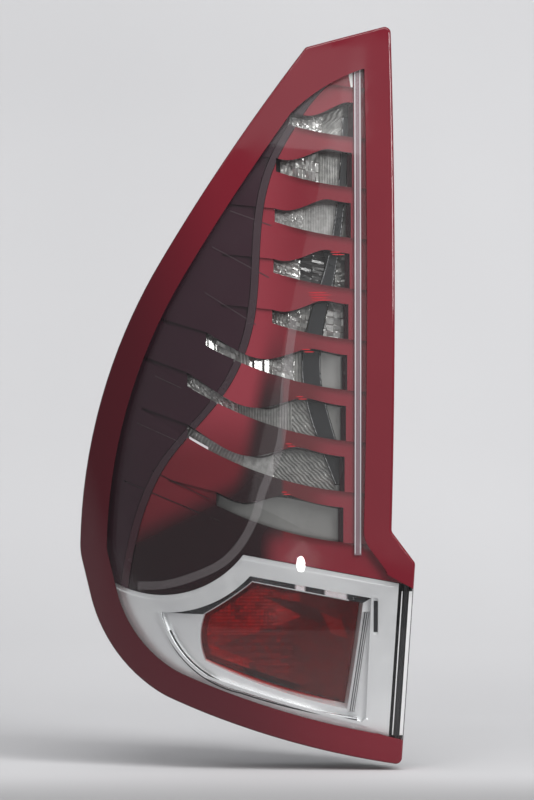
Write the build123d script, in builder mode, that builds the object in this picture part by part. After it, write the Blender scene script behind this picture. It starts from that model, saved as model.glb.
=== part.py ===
"""Left rear lamp of a car: a curved two-colour lens on a moulded housing, with a red rib
screen over chromed reflectors, a silver lower bezel round a fog lens, and four bulbs on
a removable carrier.

The frame: +Z up, +X towards the middle of the car, the lens faces -Y.  The origin is
midway between the two fixing studs, on the seat plane where the lamp meets the body.
"""

from build123d import *
import os
from math import acos, asin, atan2, cos, degrees, radians, sin, sqrt

# Outline of the lamp, seen square-on from behind the car
lamp_height = 470.0
lamp_width = 213.0
lamp_depth = 118.0
studs_to_inboard = 105.0
foot_step = 15.0
foot_step_top = -86.0
foot_step_bottom = -106.0
foot_lean = 8.0
inboard_bow = 2.0
top_edge_run = 54.0
top_edge_drop = 14.5
flank_bow = 2.3
shoulder_in = 51.3
shoulder_height = 83.0
widest_height = -100.0
heel_run = 28.5
heel_lean = 7.0
belly_in = 55.0
belly_height = -191.0
belly_sag = 5.4
corner_round = 4.0
heel_round = 40.0
belly_round = 60.0

# Curvature of the lens face: two arcs across, one up and down
face_radius = 600.0
rise_radius = 900.0
flank_reach = 90.0
flank_start_angle = 6.0
flank_end_angle = 46.0
flank_stop_angle = 78.0

# How far cutting shapes run past what they cut
overrun = 30.0

# Moulded lens: wall, skirt and the colour boundary
lens_wall = 3.0
lens_edge_round = 1.6
skirt_depth = 24.0
rim_width = 17.5
arch_right_drop = 28.5
arch_left_in = 85.0
arch_left_drop = 86.0
arch_sag = 8.5
clear_foot_top = -109.0
clear_foot_bottom = -214.0
clear_foot_drop = 14.0

# Weld seam and housing
seal_thickness = 1.5
seal_width = 2.6
flange_thickness = 3.0
upstand_wall = 2.5
fit = 0.4
housing_wall = 2.5
housing_draft = 4.0
back_inset = 13.0
back_plate = 3.0
gasket_thickness = 8.0

# Layers behind the lens, as depths measured in from its outer face
screen_depth = 5.2
screen_thickness = 4.0
bezel_depth = 4.6
bezel_wall = 3.0
plate_gap = 8.0
plate_thickness = 2.0

# Rib screen: rows of wave-shaped openings, each row as its run and the run to its bend
row_pitch = 32.0
first_row_drop = 72.0
row_right_inset = 24.0
row_drift = 0.8
row_edge_radius = 234.0
row_edge_tilt = 6.0
opening_height = 22.0
tail_height = 8.5
tail_rise = 1.5
bend_run = 22.0
top_row = (40.0, 25.0)
short_row = (48.0, 39.0)
long_rows = ((80.0, 62.0), (99.0, 55.0), (100.0, 51.0), (89.0, 47.0))
channel_depth = 1.5
channel_run = 34.0
channel_tip = 1.2

# Left edge of the red screen, as drops from the top, and the trim along it
screen_edge = ((96.0, 26.0), (59.0, 39.0), (41.0, 62.0), (25.0, 93.0), (17.5, 135.0), (13.0, 190.0),
               (-5.0, 233.0), (-42.0, 278.0), (-61.0, 325.0), (-68.0, 375.0))
trim_shift = (5.0, -1.0)
trim_height = 0.8
seam_gap = 0.2

# Light bar along the inboard edge of the rib screen
bar_width = 4.4
bar_height = 1.6
bar_inset = 19.0
bar_bottom = -101.0
bar_grooves = 2
groove_width = 0.5
groove_depth = 0.8

# Bezel of the lower chamber
divider_left_in = 21.5
divider_left_height = -119.0
divider_dip_in = 63.0
divider_dip_height = -126.0
divider_kink_x = 11.5
divider_kink_height = -101.0
divider_right_height = -121.0
lip_width = 3.0
lip_drop = 0.8
bezel_edge_gap = 9.4
pocket_depth = 3.0
ridge_width = 1.8
ridge_height = 1.2
curl_radius = 2.4
slot_left = 93.6
slot_width = 3.2
slot_top = -128.0
slot_bottom = -151.5
slot_depth = 1.6
funnel_flare = 2.0
funnel_wall = 2.0

# Fog lamp behind the bezel: outlines of its lens and of the pocket round it
fog_x = 35.0
fog_height = -160.0
fog_depth = 15.0
fog_lens_wall = 2.5
fog_crown_radius = 260.0
fog_lens_height = 6.0
fog_flange = 2.0
flutes_top = -137.0
flutes_bottom = -201.0
flutes_width = 4.0
flute_steps = 3
step_height = 0.9
fog_kink = (-17.0, 40.6)
fog_top_right = (50.3, 27.1)
fog_bottom_right = (40.8, -39.1)
fog_bottom_sag = (-6.6, -25.6)
fog_bottom_left = (-47.0, -10.2)
fog_left_sag = (-49.9, 2.0)
fog_top_left = (-47.0, 20.0)
fog_top_sag = (-30.6, 30.3)
pocket_kink = (-19.2, 46.4)
pocket_top_right = (57.3, 32.2)
pocket_bottom_right = (54.1, -48.7)
pocket_bottom_sag = (6.1, -35.9)
pocket_bottom_left = (-47.0, -17.9)
pocket_left_sag = (-66.6, 2.0)
pocket_tip = (-76.1, 22.6)
pocket_top_sag = (-47.6, 27.0)

# Bulbs, all on one slanted line from the top bulb to the fog bulb behind its lens
bulb_top_x = 54.0
bulb_top_height = 143.0
fog_bulb_shift = 2.2
fog_bulb_rise = 3.0
bulb_glass_radius = 12.5
bulb_base_radius = 7.5
bulb_base_length = 20.0
bulb_base_chamfer = 1.5
bulb_fit = 0.1
bulb_seat = -20.0
bulb_tip = -72.0
bulb_names = ("stop_tail", "indicator", "reverse", "fog")

# Reflector bowls, plate edge and flutes
bowl_mouth_radii = (20.0, 22.0, 24.0)
bowl_throat = 15.0
bowl_throat_y = -56.0
bowl_rings = 5
bowl_wall = 1.6
bowl_overshoot = 5.0
fog_bowl_radius = 33.0
tray_edge = ((46.0, 200.0), (-10.0, 60.0), (-46.0, -125.0))
tray_margin = 4.0
flute_pitch = 8.0
flute_depth = 0.8
flute_left = -34.0
flute_right = 17.0
stub_radius = 5.0
stub_y = -36.0
screw_radius = 1.6
screw_head_radius = 3.6
screw_head = 2.2
screw_bite = 8.0
screw_clear = 7.0
screw_top_run = 8.0
screw_middle_height = 8.0
screw_low_in = 63.0
screw_low_height = -76.0

# Dark rib that stands on the reflector: its middle line as drops from the top, with its widths
rib_line = ((77.0, 59.0, 4.0), (75.0, 93.0, 3.8), (71.7, 126.0, 4.0), (66.0, 158.0, 6.0), (57.5, 190.0, 9.5),
            (54.5, 222.0, 10.5), (61.3, 254.0, 10.5), (73.5, 291.0, 7.0))
rib_height = 5.0

# Bulb carrier on the back
carrier_width = 48.0
carrier_end = 15.0
carrier_corner = 10.0
carrier_plate = 3.0
carrier_gasket_thickness = 1.5
carrier_lap = 3.0
tower_wall = 3.0
tower_length = 30.0
strip_width = 5.0
strip_spread = 16.0
branch_run = 10.0
strip_thickness = 0.6
shroud_length = 36.0
shroud_width = 20.0
shroud_wall = 1.8
shroud_depth = 20.0
shroud_floor = 2.0
terminal_count = 6
terminal_pitch = 5.0
terminal_width = 2.8
terminal_thickness = 0.8
terminal_length = 11.0
latch_width = 14.0
latch_thickness = 2.0
latch_hook = 5.0

# Fixings on the seat plane
stud_spacing = 220.0
stud_radius = 3.0
stud_length = 25.0
stud_flange_radius = 7.0
stud_flange = 2.0
stud_root_radius = 4.0
stud_root = 8.0
boss_radius = 7.0
pin_radius = 4.0
pin_length = 14.0
tip_chamfer = 0.8
pin_places = ((78.0, 188.0), (84.0, -204.0))
gasket_width = 6.0
gasket_side_gap = 1.5
gasket_end_gap = 5.0
vent_radius = 6.0
vent_height = 6.0
vent_chamfer = 2.0
vent_places = ((-62.0, -60.0), (-52.0, -148.0))

os.makedirs("parts", exist_ok=True)

# Places that follow from the sizes above
top = lamp_height / 2
inboard = studs_to_inboard
foot = inboard + foot_step
outboard = foot - lamp_width
rise_axis_y = rise_radius - lamp_depth
seal_depth = skirt_depth + seal_thickness
flange_depth = seal_depth + flange_thickness
shelf_depth = screen_depth + screen_thickness
shelf_inset = lens_wall + fit
plate_depth = shelf_depth + plate_gap
plate_back = plate_depth + plate_thickness
back_y = -gasket_thickness
bar_top = top - arch_right_drop
bar_x = inboard - bar_inset - bar_width / 2
carrier_y = back_y + carrier_gasket_thickness
carrier_back = carrier_y + carrier_plate
bulb_row = bulb_top_height - fog_height - fog_bulb_rise
bulb_pitch = bulb_row / (len(bulb_names) - 1)
bulb_drift = (bulb_top_x - fog_x - fog_bulb_shift) / (len(bulb_names) - 1)
bulb_places = [(bulb_top_x - bulb_drift * n, bulb_top_height - bulb_pitch * n)
               for n in range(len(bulb_names))]
carrier_x = bulb_top_x - bulb_drift * (len(bulb_names) - 1) / 2
carrier_z = bulb_top_height - bulb_row / 2
carrier_length = bulb_row + 2 * carrier_end
carrier_lean = -degrees(atan2(bulb_drift, bulb_pitch))
gasket_half_width = carrier_width / 2 + gasket_side_gap + gasket_width
gasket_top = bulb_top_height + carrier_end + gasket_end_gap + gasket_width
screw_places = ((bulb_top_x + screw_top_run, gasket_top + 2 * screw_clear),
                (carrier_x - gasket_half_width - screw_clear, screw_middle_height),
                (outboard + screw_low_in, screw_low_height))
reach = lamp_height


def outline(inset, rounded=False):
    """Outline of the lamp, drawn in by an inset, with sharp or rounded corners."""
    shoulder = (outboard + shoulder_in, shoulder_height)
    top_outer = (inboard - top_edge_run, top - top_edge_drop)
    with BuildSketch(Plane.XZ) as sketch:
        with BuildLine():
            Line((inboard, top), top_outer)
            flank = SagittaArc(top_outer, shoulder, -flank_bow)
            side = TangentArc(flank @ 1, (outboard, widest_height), tangent=flank % 1)
            heel = Line(side @ 1, (outboard + heel_lean, widest_height - heel_run))
            belly = TangentArc(heel @ 1, (outboard + belly_in, belly_height), tangent=heel % 1)
            base = SagittaArc(belly @ 1, (foot - foot_lean, -top), -belly_sag)
            edge = Line(base @ 1, (foot, foot_step_bottom))
            step = Line(edge @ 1, (inboard, foot_step_top))
            SagittaArc(step @ 1, (inboard, top), -inboard_bow)
        make_face()
        fillet(sketch.vertices().sort_by_distance(side @ 1)[0], heel_round)
        fillet(sketch.vertices().sort_by_distance(belly @ 1)[0], belly_round)
        if rounded:
            corners = [sketch.vertices().sort_by_distance(place)[0]
                       for place in ((inboard, top), top_outer, base @ 1, edge @ 1, step @ 1)]
            fillet(corners, corner_round)
        if inset:
            offset(amount=-inset, kind=Kind.ARC, mode=Mode.REPLACE)
    return sketch


# The face section: an inboard arc about the apex, then a tighter flank arc tangent to it
flank_x = outboard + flank_reach
apex_x = flank_x + face_radius * sin(radians(flank_start_angle))
flank_radius = flank_reach / (sin(radians(flank_end_angle)) - sin(radians(flank_start_angle)))
inboard_angle = -degrees(asin((foot + overrun - apex_x) / face_radius))
rise_angle = degrees(asin((top + overrun) / (rise_radius - lamp_depth)))


def face_point(depth, angle):
    """Point of the face section, at a depth in from the outer face."""
    turn = radians(angle)
    start = radians(flank_start_angle)
    radius = face_radius
    centre_x = apex_x
    centre_y = face_radius - rise_radius
    if angle > flank_start_angle:
        radius = flank_radius
        centre_x = apex_x - (face_radius - flank_radius) * sin(start)
        centre_y = centre_y - (face_radius - flank_radius) * cos(start)
    return (centre_x - (radius - depth) * sin(turn), centre_y - (radius - depth) * cos(turn))


def face_arcs(depth, angles):
    """Two arcs of the face section through the given angles."""
    points = [face_point(depth, angle) for angle in angles]
    ThreePointArc(*points[:3])
    ThreePointArc(*points[2:])


def layer(front, back):
    """Sheet of the lens face between two depths, wider than the lamp."""
    angles = [inboard_angle, 0.0, flank_start_angle,
              (flank_start_angle + flank_stop_angle) / 2, flank_stop_angle]
    ends = [(face_point(front, angle), face_point(back, angle)) for angle in (angles[0], angles[-1])]
    axis = Axis((0, rise_axis_y, 0), (1, 0, 0))
    plane = Plane((0, rise_axis_y, 0), x_dir=(1, 0, 0), z_dir=(0, 0, 1))
    with BuildPart() as sheet:
        with BuildSketch(plane.rotated((-rise_angle, 0, 0))):
            with BuildLine():
                face_arcs(front, angles)
                Line(*ends[1])
                face_arcs(back, angles)
                Line(*ends[0])
            make_face()
        revolve(axis=axis, revolution_arc=2 * rise_angle)
    return sheet.part


def prism(sketch):
    """Sketch of the front view, carried through the whole depth of the lamp."""
    with BuildPart() as block:
        extrude(sketch.sketch, amount=reach, both=True)
    return block.part


def trimmed(solid, sketch):
    """Solid trimmed to a sketch of the front view."""
    block = prism(sketch)
    with BuildPart() as piece:
        add(solid)
        add(block, mode=Mode.INTERSECT)
    return piece.part


def cap(inset, front, back, rounded=False):
    """Layer of the lens face trimmed to the lamp outline."""
    return trimmed(layer(front, back), outline(inset, rounded))


def surface_y(x, z, depth):
    """Where a layer of the face stands, inboard of the flank."""
    radius = rise_radius - depth - face_radius + sqrt(face_radius ** 2 - (x - apex_x) ** 2)
    return rise_axis_y - sqrt(radius ** 2 - z ** 2)


def window():
    """Clear window of the lens: inside the red rim, under an arch, and out over the foot."""
    arch_right = (inboard - rim_width - fit, top - arch_right_drop)
    arch_left = (inboard - arch_left_in, top - arch_left_drop)
    foot_left = foot - foot_lean - rim_width
    foot_right = foot + overrun
    inside_rim = outline(rim_width)
    with BuildSketch(Plane.XZ) as sketch:
        add(inside_rim)
        with BuildLine():
            SagittaArc(arch_left, arch_right, arch_sag)
            Polyline(arch_right, (reach, arch_right[1]), (reach, reach), (-reach, reach),
                     (-reach, arch_left[1]), arch_left)
        make_face(mode=Mode.SUBTRACT)
        with BuildLine():
            Polyline((foot_left, clear_foot_top), (foot, clear_foot_top - clear_foot_drop),
                     (foot_right, clear_foot_top - clear_foot_drop),
                     (foot_right, clear_foot_bottom - clear_foot_drop / 2),
                     (foot, clear_foot_bottom - clear_foot_drop / 2), (foot_left, clear_foot_bottom),
                     close=True)
        make_face()
    return sketch


# Outer lens: one shell with a rounded edge, moulded in two colours
lens_block = cap(0, 0, skirt_depth, rounded=True)
lens_hollow = cap(lens_wall, lens_wall, skirt_depth + overrun)
window_prism = prism(window())

with BuildPart() as lens_shell:
    add(lens_block)
    front_faces = lens_shell.faces().sort_by(Axis.Y)[:2]
    seam = [edge for edge in front_faces[0].edges() if edge in front_faces[1].edges()]
    rim_edges = [edge for edge in front_faces.edges() if edge not in seam]
    fillet(rim_edges, lens_edge_round)
    add(lens_hollow, mode=Mode.SUBTRACT)

with BuildPart() as lens_red_rim:
    add(lens_shell.part)
    add(window_prism, mode=Mode.SUBTRACT)
lens_red_rim.part.label = "lens_red_rim"
export_step(lens_red_rim.part, "parts/lens_red_rim.step")

with BuildPart() as lens_clear_window:
    add(lens_shell.part)
    add(window_prism, mode=Mode.INTERSECT)
lens_clear_window.part.label = "lens_clear_window"
export_step(lens_clear_window.part, "parts/lens_clear_window.step")

# Seal bead in the weld seam, between the lens skirt and the housing flange
seal_bead = cap(fit, skirt_depth, seal_depth, rounded=True)
seal_hollow = cap(fit + seal_width, skirt_depth - overrun, seal_depth + overrun)

with BuildPart() as lens_seal:
    add(seal_bead)
    add(seal_hollow, mode=Mode.SUBTRACT)
lens_seal.part.label = "lens_seal"
export_step(lens_seal.part, "parts/lens_seal.step")


def carrier_frame(width, length, corner):
    """Rounded rectangle along the slanted line of bulbs."""
    with BuildSketch(Plane.XZ) as sketch:
        with Locations(Location((carrier_x, carrier_z, 0), (0, 0, carrier_lean))):
            RectangleRounded(width, length, corner)
    return sketch


# Housing: a drafted box closed at the back, with a flange for the lens and an upstand that
# carries the inner pieces, an opening for the bulb carrier, and bosses for the fixings
box_depth = lamp_depth - skirt_depth + back_y
stud_places = [(0.0, stud_spacing / 2), (0.0, -stud_spacing / 2)]
in_front_of_flange = layer(-overrun, seal_depth)
flange_block = cap(0, seal_depth, flange_depth, rounded=True)
upstand_block = cap(shelf_inset, shelf_depth, flange_depth)
upstand_hollow = cap(shelf_inset + upstand_wall, shelf_depth - overrun, flange_depth + overrun)
with BuildPart() as upstand:
    add(upstand_block)
    add(upstand_hollow, mode=Mode.SUBTRACT)
back_outline = outline(back_inset)
hollow_outline = outline(back_inset + housing_wall)
carrier_opening = carrier_frame(carrier_width - 2 * carrier_lap, carrier_length - 2 * carrier_lap,
                                carrier_corner - carrier_lap)

with BuildPart() as housing:
    with BuildSketch(Plane.XZ.offset(-back_y)):
        add(back_outline)
    extrude(amount=box_depth, taper=-housing_draft)
    add(in_front_of_flange, mode=Mode.SUBTRACT)
    add(flange_block)
    with BuildSketch(Plane.XZ.offset(back_plate - back_y)):
        add(hollow_outline)
    extrude(amount=box_depth, taper=-housing_draft, mode=Mode.SUBTRACT)
    add(upstand.part)
    with BuildSketch(Plane.XZ.offset(-back_y)):
        add(carrier_opening)
    extrude(amount=back_plate, mode=Mode.SUBTRACT)
    with BuildSketch(Plane.XZ.offset(-back_y)):
        with Locations(*stud_places, *pin_places):
            Circle(boss_radius)
    extrude(amount=back_y + stud_flange)
    with BuildSketch(Plane.XZ.offset(-back_y)):
        with Locations(*stud_places, *pin_places):
            Circle(boss_radius)
    extrude(amount=stud_root)
    with BuildSketch(Plane.XZ.offset(stud_flange)):
        with Locations(*stud_places, *pin_places):
            Circle(stud_root_radius)
    extrude(amount=stud_root, mode=Mode.SUBTRACT)
    with BuildSketch(Plane.XZ.offset(-back_y)):
        with Locations(*screw_places):
            Circle(stub_radius)
    extrude(amount=back_y - stub_y)
    with BuildSketch(Plane.XZ.offset(-back_y)):
        with Locations(*screw_places):
            Circle(screw_radius)
    extrude(amount=back_y - stub_y, mode=Mode.SUBTRACT)
housing.part.label = "housing"
export_step(housing.part, "parts/housing.step")


def divider(drop, above):
    """Front view above or below the curve between the two chambers, lowered by a drop."""
    left = (outboard + divider_left_in, divider_left_height - drop)
    dip = (outboard + divider_dip_in, divider_dip_height - drop)
    kink = (divider_kink_x, divider_kink_height - drop)
    right = (foot, divider_right_height - drop)
    edge = reach if above else -reach
    with BuildSketch(Plane.XZ) as sketch:
        with BuildLine():
            ThreePointArc(left, dip, kink)
            Polyline(kink, right, (reach, right[1]), (reach, edge), (-reach, edge), (-reach, left[1]), left)
        make_face()
    return sketch


# Rows of the rib screen, from the top down: right end, height, run and run to the bend
row_count = int((top - first_row_drop - divider_kink_height) / row_pitch) + 1
row_shapes = [top_row] + [short_row] * (row_count - 1 - len(long_rows)) + list(reversed(long_rows))
rows = [(inboard - row_right_inset - row_drift * n, top - first_row_drop - row_pitch * n, *shape)
        for n, shape in enumerate(row_shapes)]


def edge_rise(run):
    """Rise of a blade's edge at a run outboard of its right end: an arc."""
    slope = sin(radians(row_edge_tilt)) + run / row_edge_radius
    return row_edge_radius * (cos(radians(row_edge_tilt)) - sqrt(1 - slope ** 2))


def edge_slope(run):
    """Direction of a blade's edge at a run, looking inboard."""
    slope = sin(radians(row_edge_tilt)) + run / row_edge_radius
    return (sqrt(1 - slope ** 2), -slope)


def opening(row):
    """Wave-shaped opening of one row."""
    right, height, run, bend = row
    lower = [(right - u, height + edge_rise(u)) for u in (0.0, run / 2, run)]
    upper = [(right - u, height + edge_rise(u) + h)
             for u, h in ((run, tail_height), (bend, tail_height + tail_rise),
                          (bend - bend_run, opening_height), (0.0, opening_height))]
    with BuildSketch(Plane.XZ) as sketch:
        with BuildLine():
            ThreePointArc(*lower)
            Line(lower[2], upper[0])
            Spline(*upper, tangents=(edge_slope(run), edge_slope(0.0)))
            Line(upper[3], lower[0])
        make_face()
    return sketch


def channel(row):
    """Narrowing channel that runs on from the tail of an opening."""
    right, height, run = row[:3]
    tail = (right - run, height + edge_rise(run))
    along = edge_slope(run)
    tip = (tail[0] - channel_run * along[0], tail[1] - channel_run * along[1])
    with BuildSketch(Plane.XZ) as sketch:
        with BuildLine():
            Polyline(tail, tip, (tip[0], tip[1] + channel_tip), (tail[0], tail[1] + tail_height), close=True)
        make_face()
    return sketch


def beside_edge(shift, inboard_side):
    """Front view on one side of the screen edge, the edge moved by a shift."""
    points = [(x + shift[0], top - drop + shift[1]) for x, drop in screen_edge]
    far_x = reach if inboard_side else -reach
    with BuildSketch(Plane.XZ) as sketch:
        with BuildLine():
            Spline(*points)
            Polyline(points[-1], (points[-1][0], -reach), (far_x, -reach), (far_x, reach),
                     (points[0][0], reach), points[0])
        make_face()
    return sketch


def bar_strip(side_gap=0.0):
    """Front view of the light bar, with a gap to each side."""
    with BuildSketch(Plane.XZ) as sketch:
        with Locations((bar_x, (bar_bottom + bar_top) / 2)):
            Rectangle(bar_width + 2 * side_gap, bar_top - bar_bottom + 2 * side_gap)
    return sketch


# Rib screen: red inner lens whose blades part into wave-shaped openings.  A dark mask carries
# the blades on to the outboard side, and grey trim strips cover the joint between the two
screen_sheet = trimmed(cap(shelf_inset, screen_depth, shelf_depth), divider(-fit, True))
trim_sheet = trimmed(cap(shelf_inset, screen_depth - trim_height, shelf_depth), divider(-fit, True))
screen_side = prism(beside_edge(trim_shift, True))
mask_side = prism(beside_edge((0.0, 0.0), False))
trim_outer = prism(beside_edge((seam_gap, -seam_gap), True))
trim_inner = prism(beside_edge((trim_shift[0] - seam_gap, trim_shift[1] + seam_gap), False))
bar_room = prism(bar_strip(fit))
channel_layer = layer(screen_depth - overrun, screen_depth + channel_depth)
opening_prisms = [prism(opening(row)) for row in rows]
channels = [trimmed(channel_layer, channel(row)) for row in rows]

with BuildPart() as rib_screen:
    add(screen_sheet)
    add(screen_side, mode=Mode.INTERSECT)
    add(opening_prisms, mode=Mode.SUBTRACT)
    add(channels, mode=Mode.SUBTRACT)
rib_screen.part.label = "rib_screen"
export_step(rib_screen.part, "parts/rib_screen.step")

with BuildPart() as side_mask:
    add(screen_sheet)
    add(mask_side, mode=Mode.INTERSECT)
    add(opening_prisms, mode=Mode.SUBTRACT)
    add(channels, mode=Mode.SUBTRACT)
side_mask.part.label = "side_mask"
export_step(side_mask.part, "parts/side_mask.step")

with BuildPart() as screen_trim:
    add(trim_sheet)
    add(trim_outer, mode=Mode.INTERSECT)
    add(trim_inner, mode=Mode.INTERSECT)
    add(bar_room, mode=Mode.SUBTRACT)
    add(opening_prisms, mode=Mode.SUBTRACT)
screen_trim.part.label = "screen_trim"
export_step(screen_trim.part, "parts/screen_trim.step")

# Light bar: clear rod that lies on the inboard edge of the rib screen
bar_back = screen_depth - seam_gap
bar_front = bar_back - bar_height
bar_block = trimmed(layer(bar_front, bar_back), bar_strip())
with BuildSketch(Plane.XZ) as bar_lines:
    with Locations((bar_x, 0)):
        with GridLocations(bar_width / (bar_grooves + 1), 0, bar_grooves, 1):
            Rectangle(groove_width, lamp_height)
groove_cuts = trimmed(layer(bar_front - overrun, bar_front + groove_depth), bar_lines)

with BuildPart() as light_bar:
    add(bar_block)
    add(groove_cuts, mode=Mode.SUBTRACT)
light_bar.part.label = "light_bar"
export_step(light_bar.part, "parts/light_bar.step")


def bowl(mouth, throat, mouth_y, throat_y, place):
    """Bowl of revolution about a bulb, its wall a chain of ring facets on a parabola."""
    growth = (mouth ** 2 - throat ** 2) / (throat_y - mouth_y)
    steps = [throat_y + (mouth_y - throat_y) * n / bowl_rings for n in range(bowl_rings + 1)]
    wall = [(sqrt(throat ** 2 + growth * (throat_y - y)), y) for y in steps]
    with BuildPart() as body:
        with BuildSketch(Plane((place[0], 0, place[1]), x_dir=(1, 0, 0), z_dir=(0, 0, 1))):
            with BuildLine():
                Polyline((0, throat_y), *wall, (0, mouth_y), close=True)
            make_face()
        revolve(axis=Axis((place[0], 0, place[1]), (0, 1, 0)))
    return body.part


# Reflector: chromed plate behind the rib screen with a bowl for each of the upper bulbs,
# flutes behind the tails of the openings, and stubs for its screws
bowl_places = list(zip(bowl_mouth_radii, bulb_places))
mouth_y = [surface_y(x, z, plate_depth) - bowl_overshoot for radius, (x, z) in bowl_places]
bowl_outers = [bowl(radius + bowl_wall, bowl_throat + bowl_wall, y, bowl_throat_y, place)
               for (radius, place), y in zip(bowl_places, mouth_y)]
bowl_inners = [bowl(radius, bowl_throat, y, bowl_throat_y, place)
               for (radius, place), y in zip(bowl_places, mouth_y)]
tray_limit = outline(shelf_inset + upstand_wall + fit)
above_divider = divider(-tray_margin, True)

with BuildSketch(Plane.XZ) as plate_outline:
    add(tray_limit)
    add(above_divider, mode=Mode.INTERSECT)
    with BuildLine():
        ThreePointArc(*tray_edge)
        Polyline(tray_edge[2], (-reach, tray_edge[2][1]), (-reach, reach), (tray_edge[0][0], reach),
                 tray_edge[0])
    make_face(mode=Mode.SUBTRACT)

flute_count = int((flute_right - flute_left) / flute_pitch) + 1
with BuildSketch(Plane.XZ) as flutes:
    with Locations(((flute_left + flute_right) / 2, 0)):
        with GridLocations(flute_pitch, 0, flute_count, 1):
            Rectangle(flute_pitch / 2, lamp_height)

plate = trimmed(layer(plate_depth, plate_back), plate_outline)
flute_cuts = trimmed(layer(plate_depth - plate_gap, plate_depth + flute_depth), flutes)
in_front_of_plate = layer(-overrun, plate_depth)
with BuildPart() as stubs:
    with BuildSketch(Plane.XZ.offset(-stub_y)):
        with Locations(*screw_places):
            Circle(stub_radius)
    extrude(amount=lamp_depth - plate_depth + stub_y)
    add(in_front_of_plate, mode=Mode.SUBTRACT)

with BuildPart() as reflector:
    add(bowl_outers)
    add(in_front_of_plate, mode=Mode.SUBTRACT)
    add(plate)
    add(flute_cuts, mode=Mode.SUBTRACT)
    add(stubs.part)
    add(bowl_inners, mode=Mode.SUBTRACT)
    with BuildSketch(Plane.XZ.offset(-stub_y)):
        with Locations(*screw_places):
            Circle(screw_radius)
    extrude(amount=screw_bite, mode=Mode.SUBTRACT)
reflector.part.label = "reflector"
export_step(reflector.part, "parts/reflector.step")

# Reflector screws, put in from the back of the housing
with BuildPart() as reflector_screws:
    with BuildSketch(Plane.XZ.offset(-back_y)):
        with Locations(*screw_places):
            Circle(screw_head_radius)
    extrude(amount=-screw_head)
    with BuildSketch(Plane.XZ.offset(-back_y)):
        with Locations(*screw_places):
            Circle(screw_radius)
    extrude(amount=back_y - stub_y + screw_bite)
reflector_screws.part.label = "reflector_screws"
export_step(reflector_screws.part, "parts/reflector_screws.step")

# Reflector rib: dark strip on the reflector plate, which parts it into two fields
with BuildSketch(Plane.XZ) as rib_outline:
    with BuildLine():
        rib_left = Spline(*[(x - width / 2, top - drop) for x, drop, width in rib_line])
        rib_right = Spline(*[(x + width / 2, top - drop) for x, drop, width in rib_line])
        Line(rib_left @ 0, rib_right @ 0)
        Line(rib_left @ 1, rib_right @ 1)
    make_face()
rib_block = trimmed(layer(plate_depth - seam_gap - rib_height, plate_depth - seam_gap), rib_outline)

with BuildPart() as reflector_rib:
    add(rib_block)
reflector_rib.part.label = "reflector_rib"
export_step(reflector_rib.part, "parts/reflector_rib.step")

# Fog lamp plane: square to the lens face over the fog bulb
fog_lean = degrees(asin(fog_height / rise_radius))
fog_plane = Plane((fog_x, surface_y(fog_x, fog_height, 0.0), fog_height), x_dir=(1, 0, 0),
                  z_dir=(0, -cos(radians(fog_lean)), sin(radians(fog_lean))))


def fog_outline(depth, grow=0.0):
    """Outline of the fog lens at a depth, grown outwards."""
    with BuildSketch(fog_plane.offset(-depth)) as sketch:
        with BuildLine():
            Polyline(fog_kink, fog_top_right, fog_bottom_right)
            ThreePointArc(fog_bottom_right, fog_bottom_sag, fog_bottom_left)
            ThreePointArc(fog_bottom_left, fog_left_sag, fog_top_left)
            ThreePointArc(fog_top_left, fog_top_sag, fog_kink)
        make_face()
        if grow:
            offset(amount=grow, kind=Kind.INTERSECTION, mode=Mode.REPLACE)
    return sketch


def fog_block(start, end, grow_start, grow_end):
    """Straight or flared block of the fog outline between two depths."""
    near = fog_outline(start, grow_start)
    far_end = fog_outline(end, grow_end)
    with BuildPart() as block:
        loft([near.sketch, far_end.sketch], ruled=True)
    return block.part


# Corners and arc points of the pocket in the bezel, in the front view
lean_scale = cos(radians(fog_lean))
pocket_points = [(fog_x + x, fog_height + z * lean_scale)
                 for x, z in (pocket_kink, pocket_top_right, pocket_bottom_right, pocket_bottom_sag,
                              pocket_bottom_left, pocket_left_sag, pocket_tip, pocket_top_sag)]


def pocket(grow=0.0):
    """Outline of the pocket in the bezel, in the front view."""
    kink, top_right, bottom_right, bottom_sag, bottom_left, left_sag, tip, top_sag = pocket_points
    with BuildSketch(Plane.XZ) as sketch:
        with BuildLine():
            Polyline(kink, top_right, bottom_right)
            ThreePointArc(bottom_right, bottom_sag, bottom_left)
            ThreePointArc(bottom_left, left_sag, tip)
            ThreePointArc(tip, top_sag, kink)
        make_face()
        if grow:
            offset(amount=grow, kind=Kind.INTERSECTION, mode=Mode.REPLACE)
    return sketch


# Silver bezel: skin of the lower chamber with a lip along its top, a pocket with a ridge round
# its lower side that ends in a curl, a slot beside it, and a funnel down to the fog lens
bezel_skin = trimmed(cap(shelf_inset, bezel_depth, shelf_depth), divider(0.0, False))
bezel_hollow = trimmed(cap(shelf_inset + upstand_wall, bezel_depth + bezel_wall, shelf_depth + overrun),
                       divider(bezel_wall, False))
pocket_floor = bezel_depth + pocket_depth
pocket_block = trimmed(layer(bezel_depth, pocket_floor + bezel_wall), pocket(bezel_wall))
pocket_cut = trimmed(layer(-overrun, pocket_floor), pocket())
funnel_block = fog_block(pocket_floor, fog_depth, funnel_flare + funnel_wall, funnel_wall)
funnel_cut = fog_block(0.0, fog_depth, funnel_flare * fog_depth / (fog_depth - pocket_floor), 0.0)
lens_seat_cut = fog_block(fog_depth, fog_depth + overrun, funnel_wall + fit, funnel_wall + fit)
in_front_of_floor = layer(-overrun, pocket_floor)
with BuildPart() as funnel:
    add(funnel_block)
    add(in_front_of_floor, mode=Mode.SUBTRACT)

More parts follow.
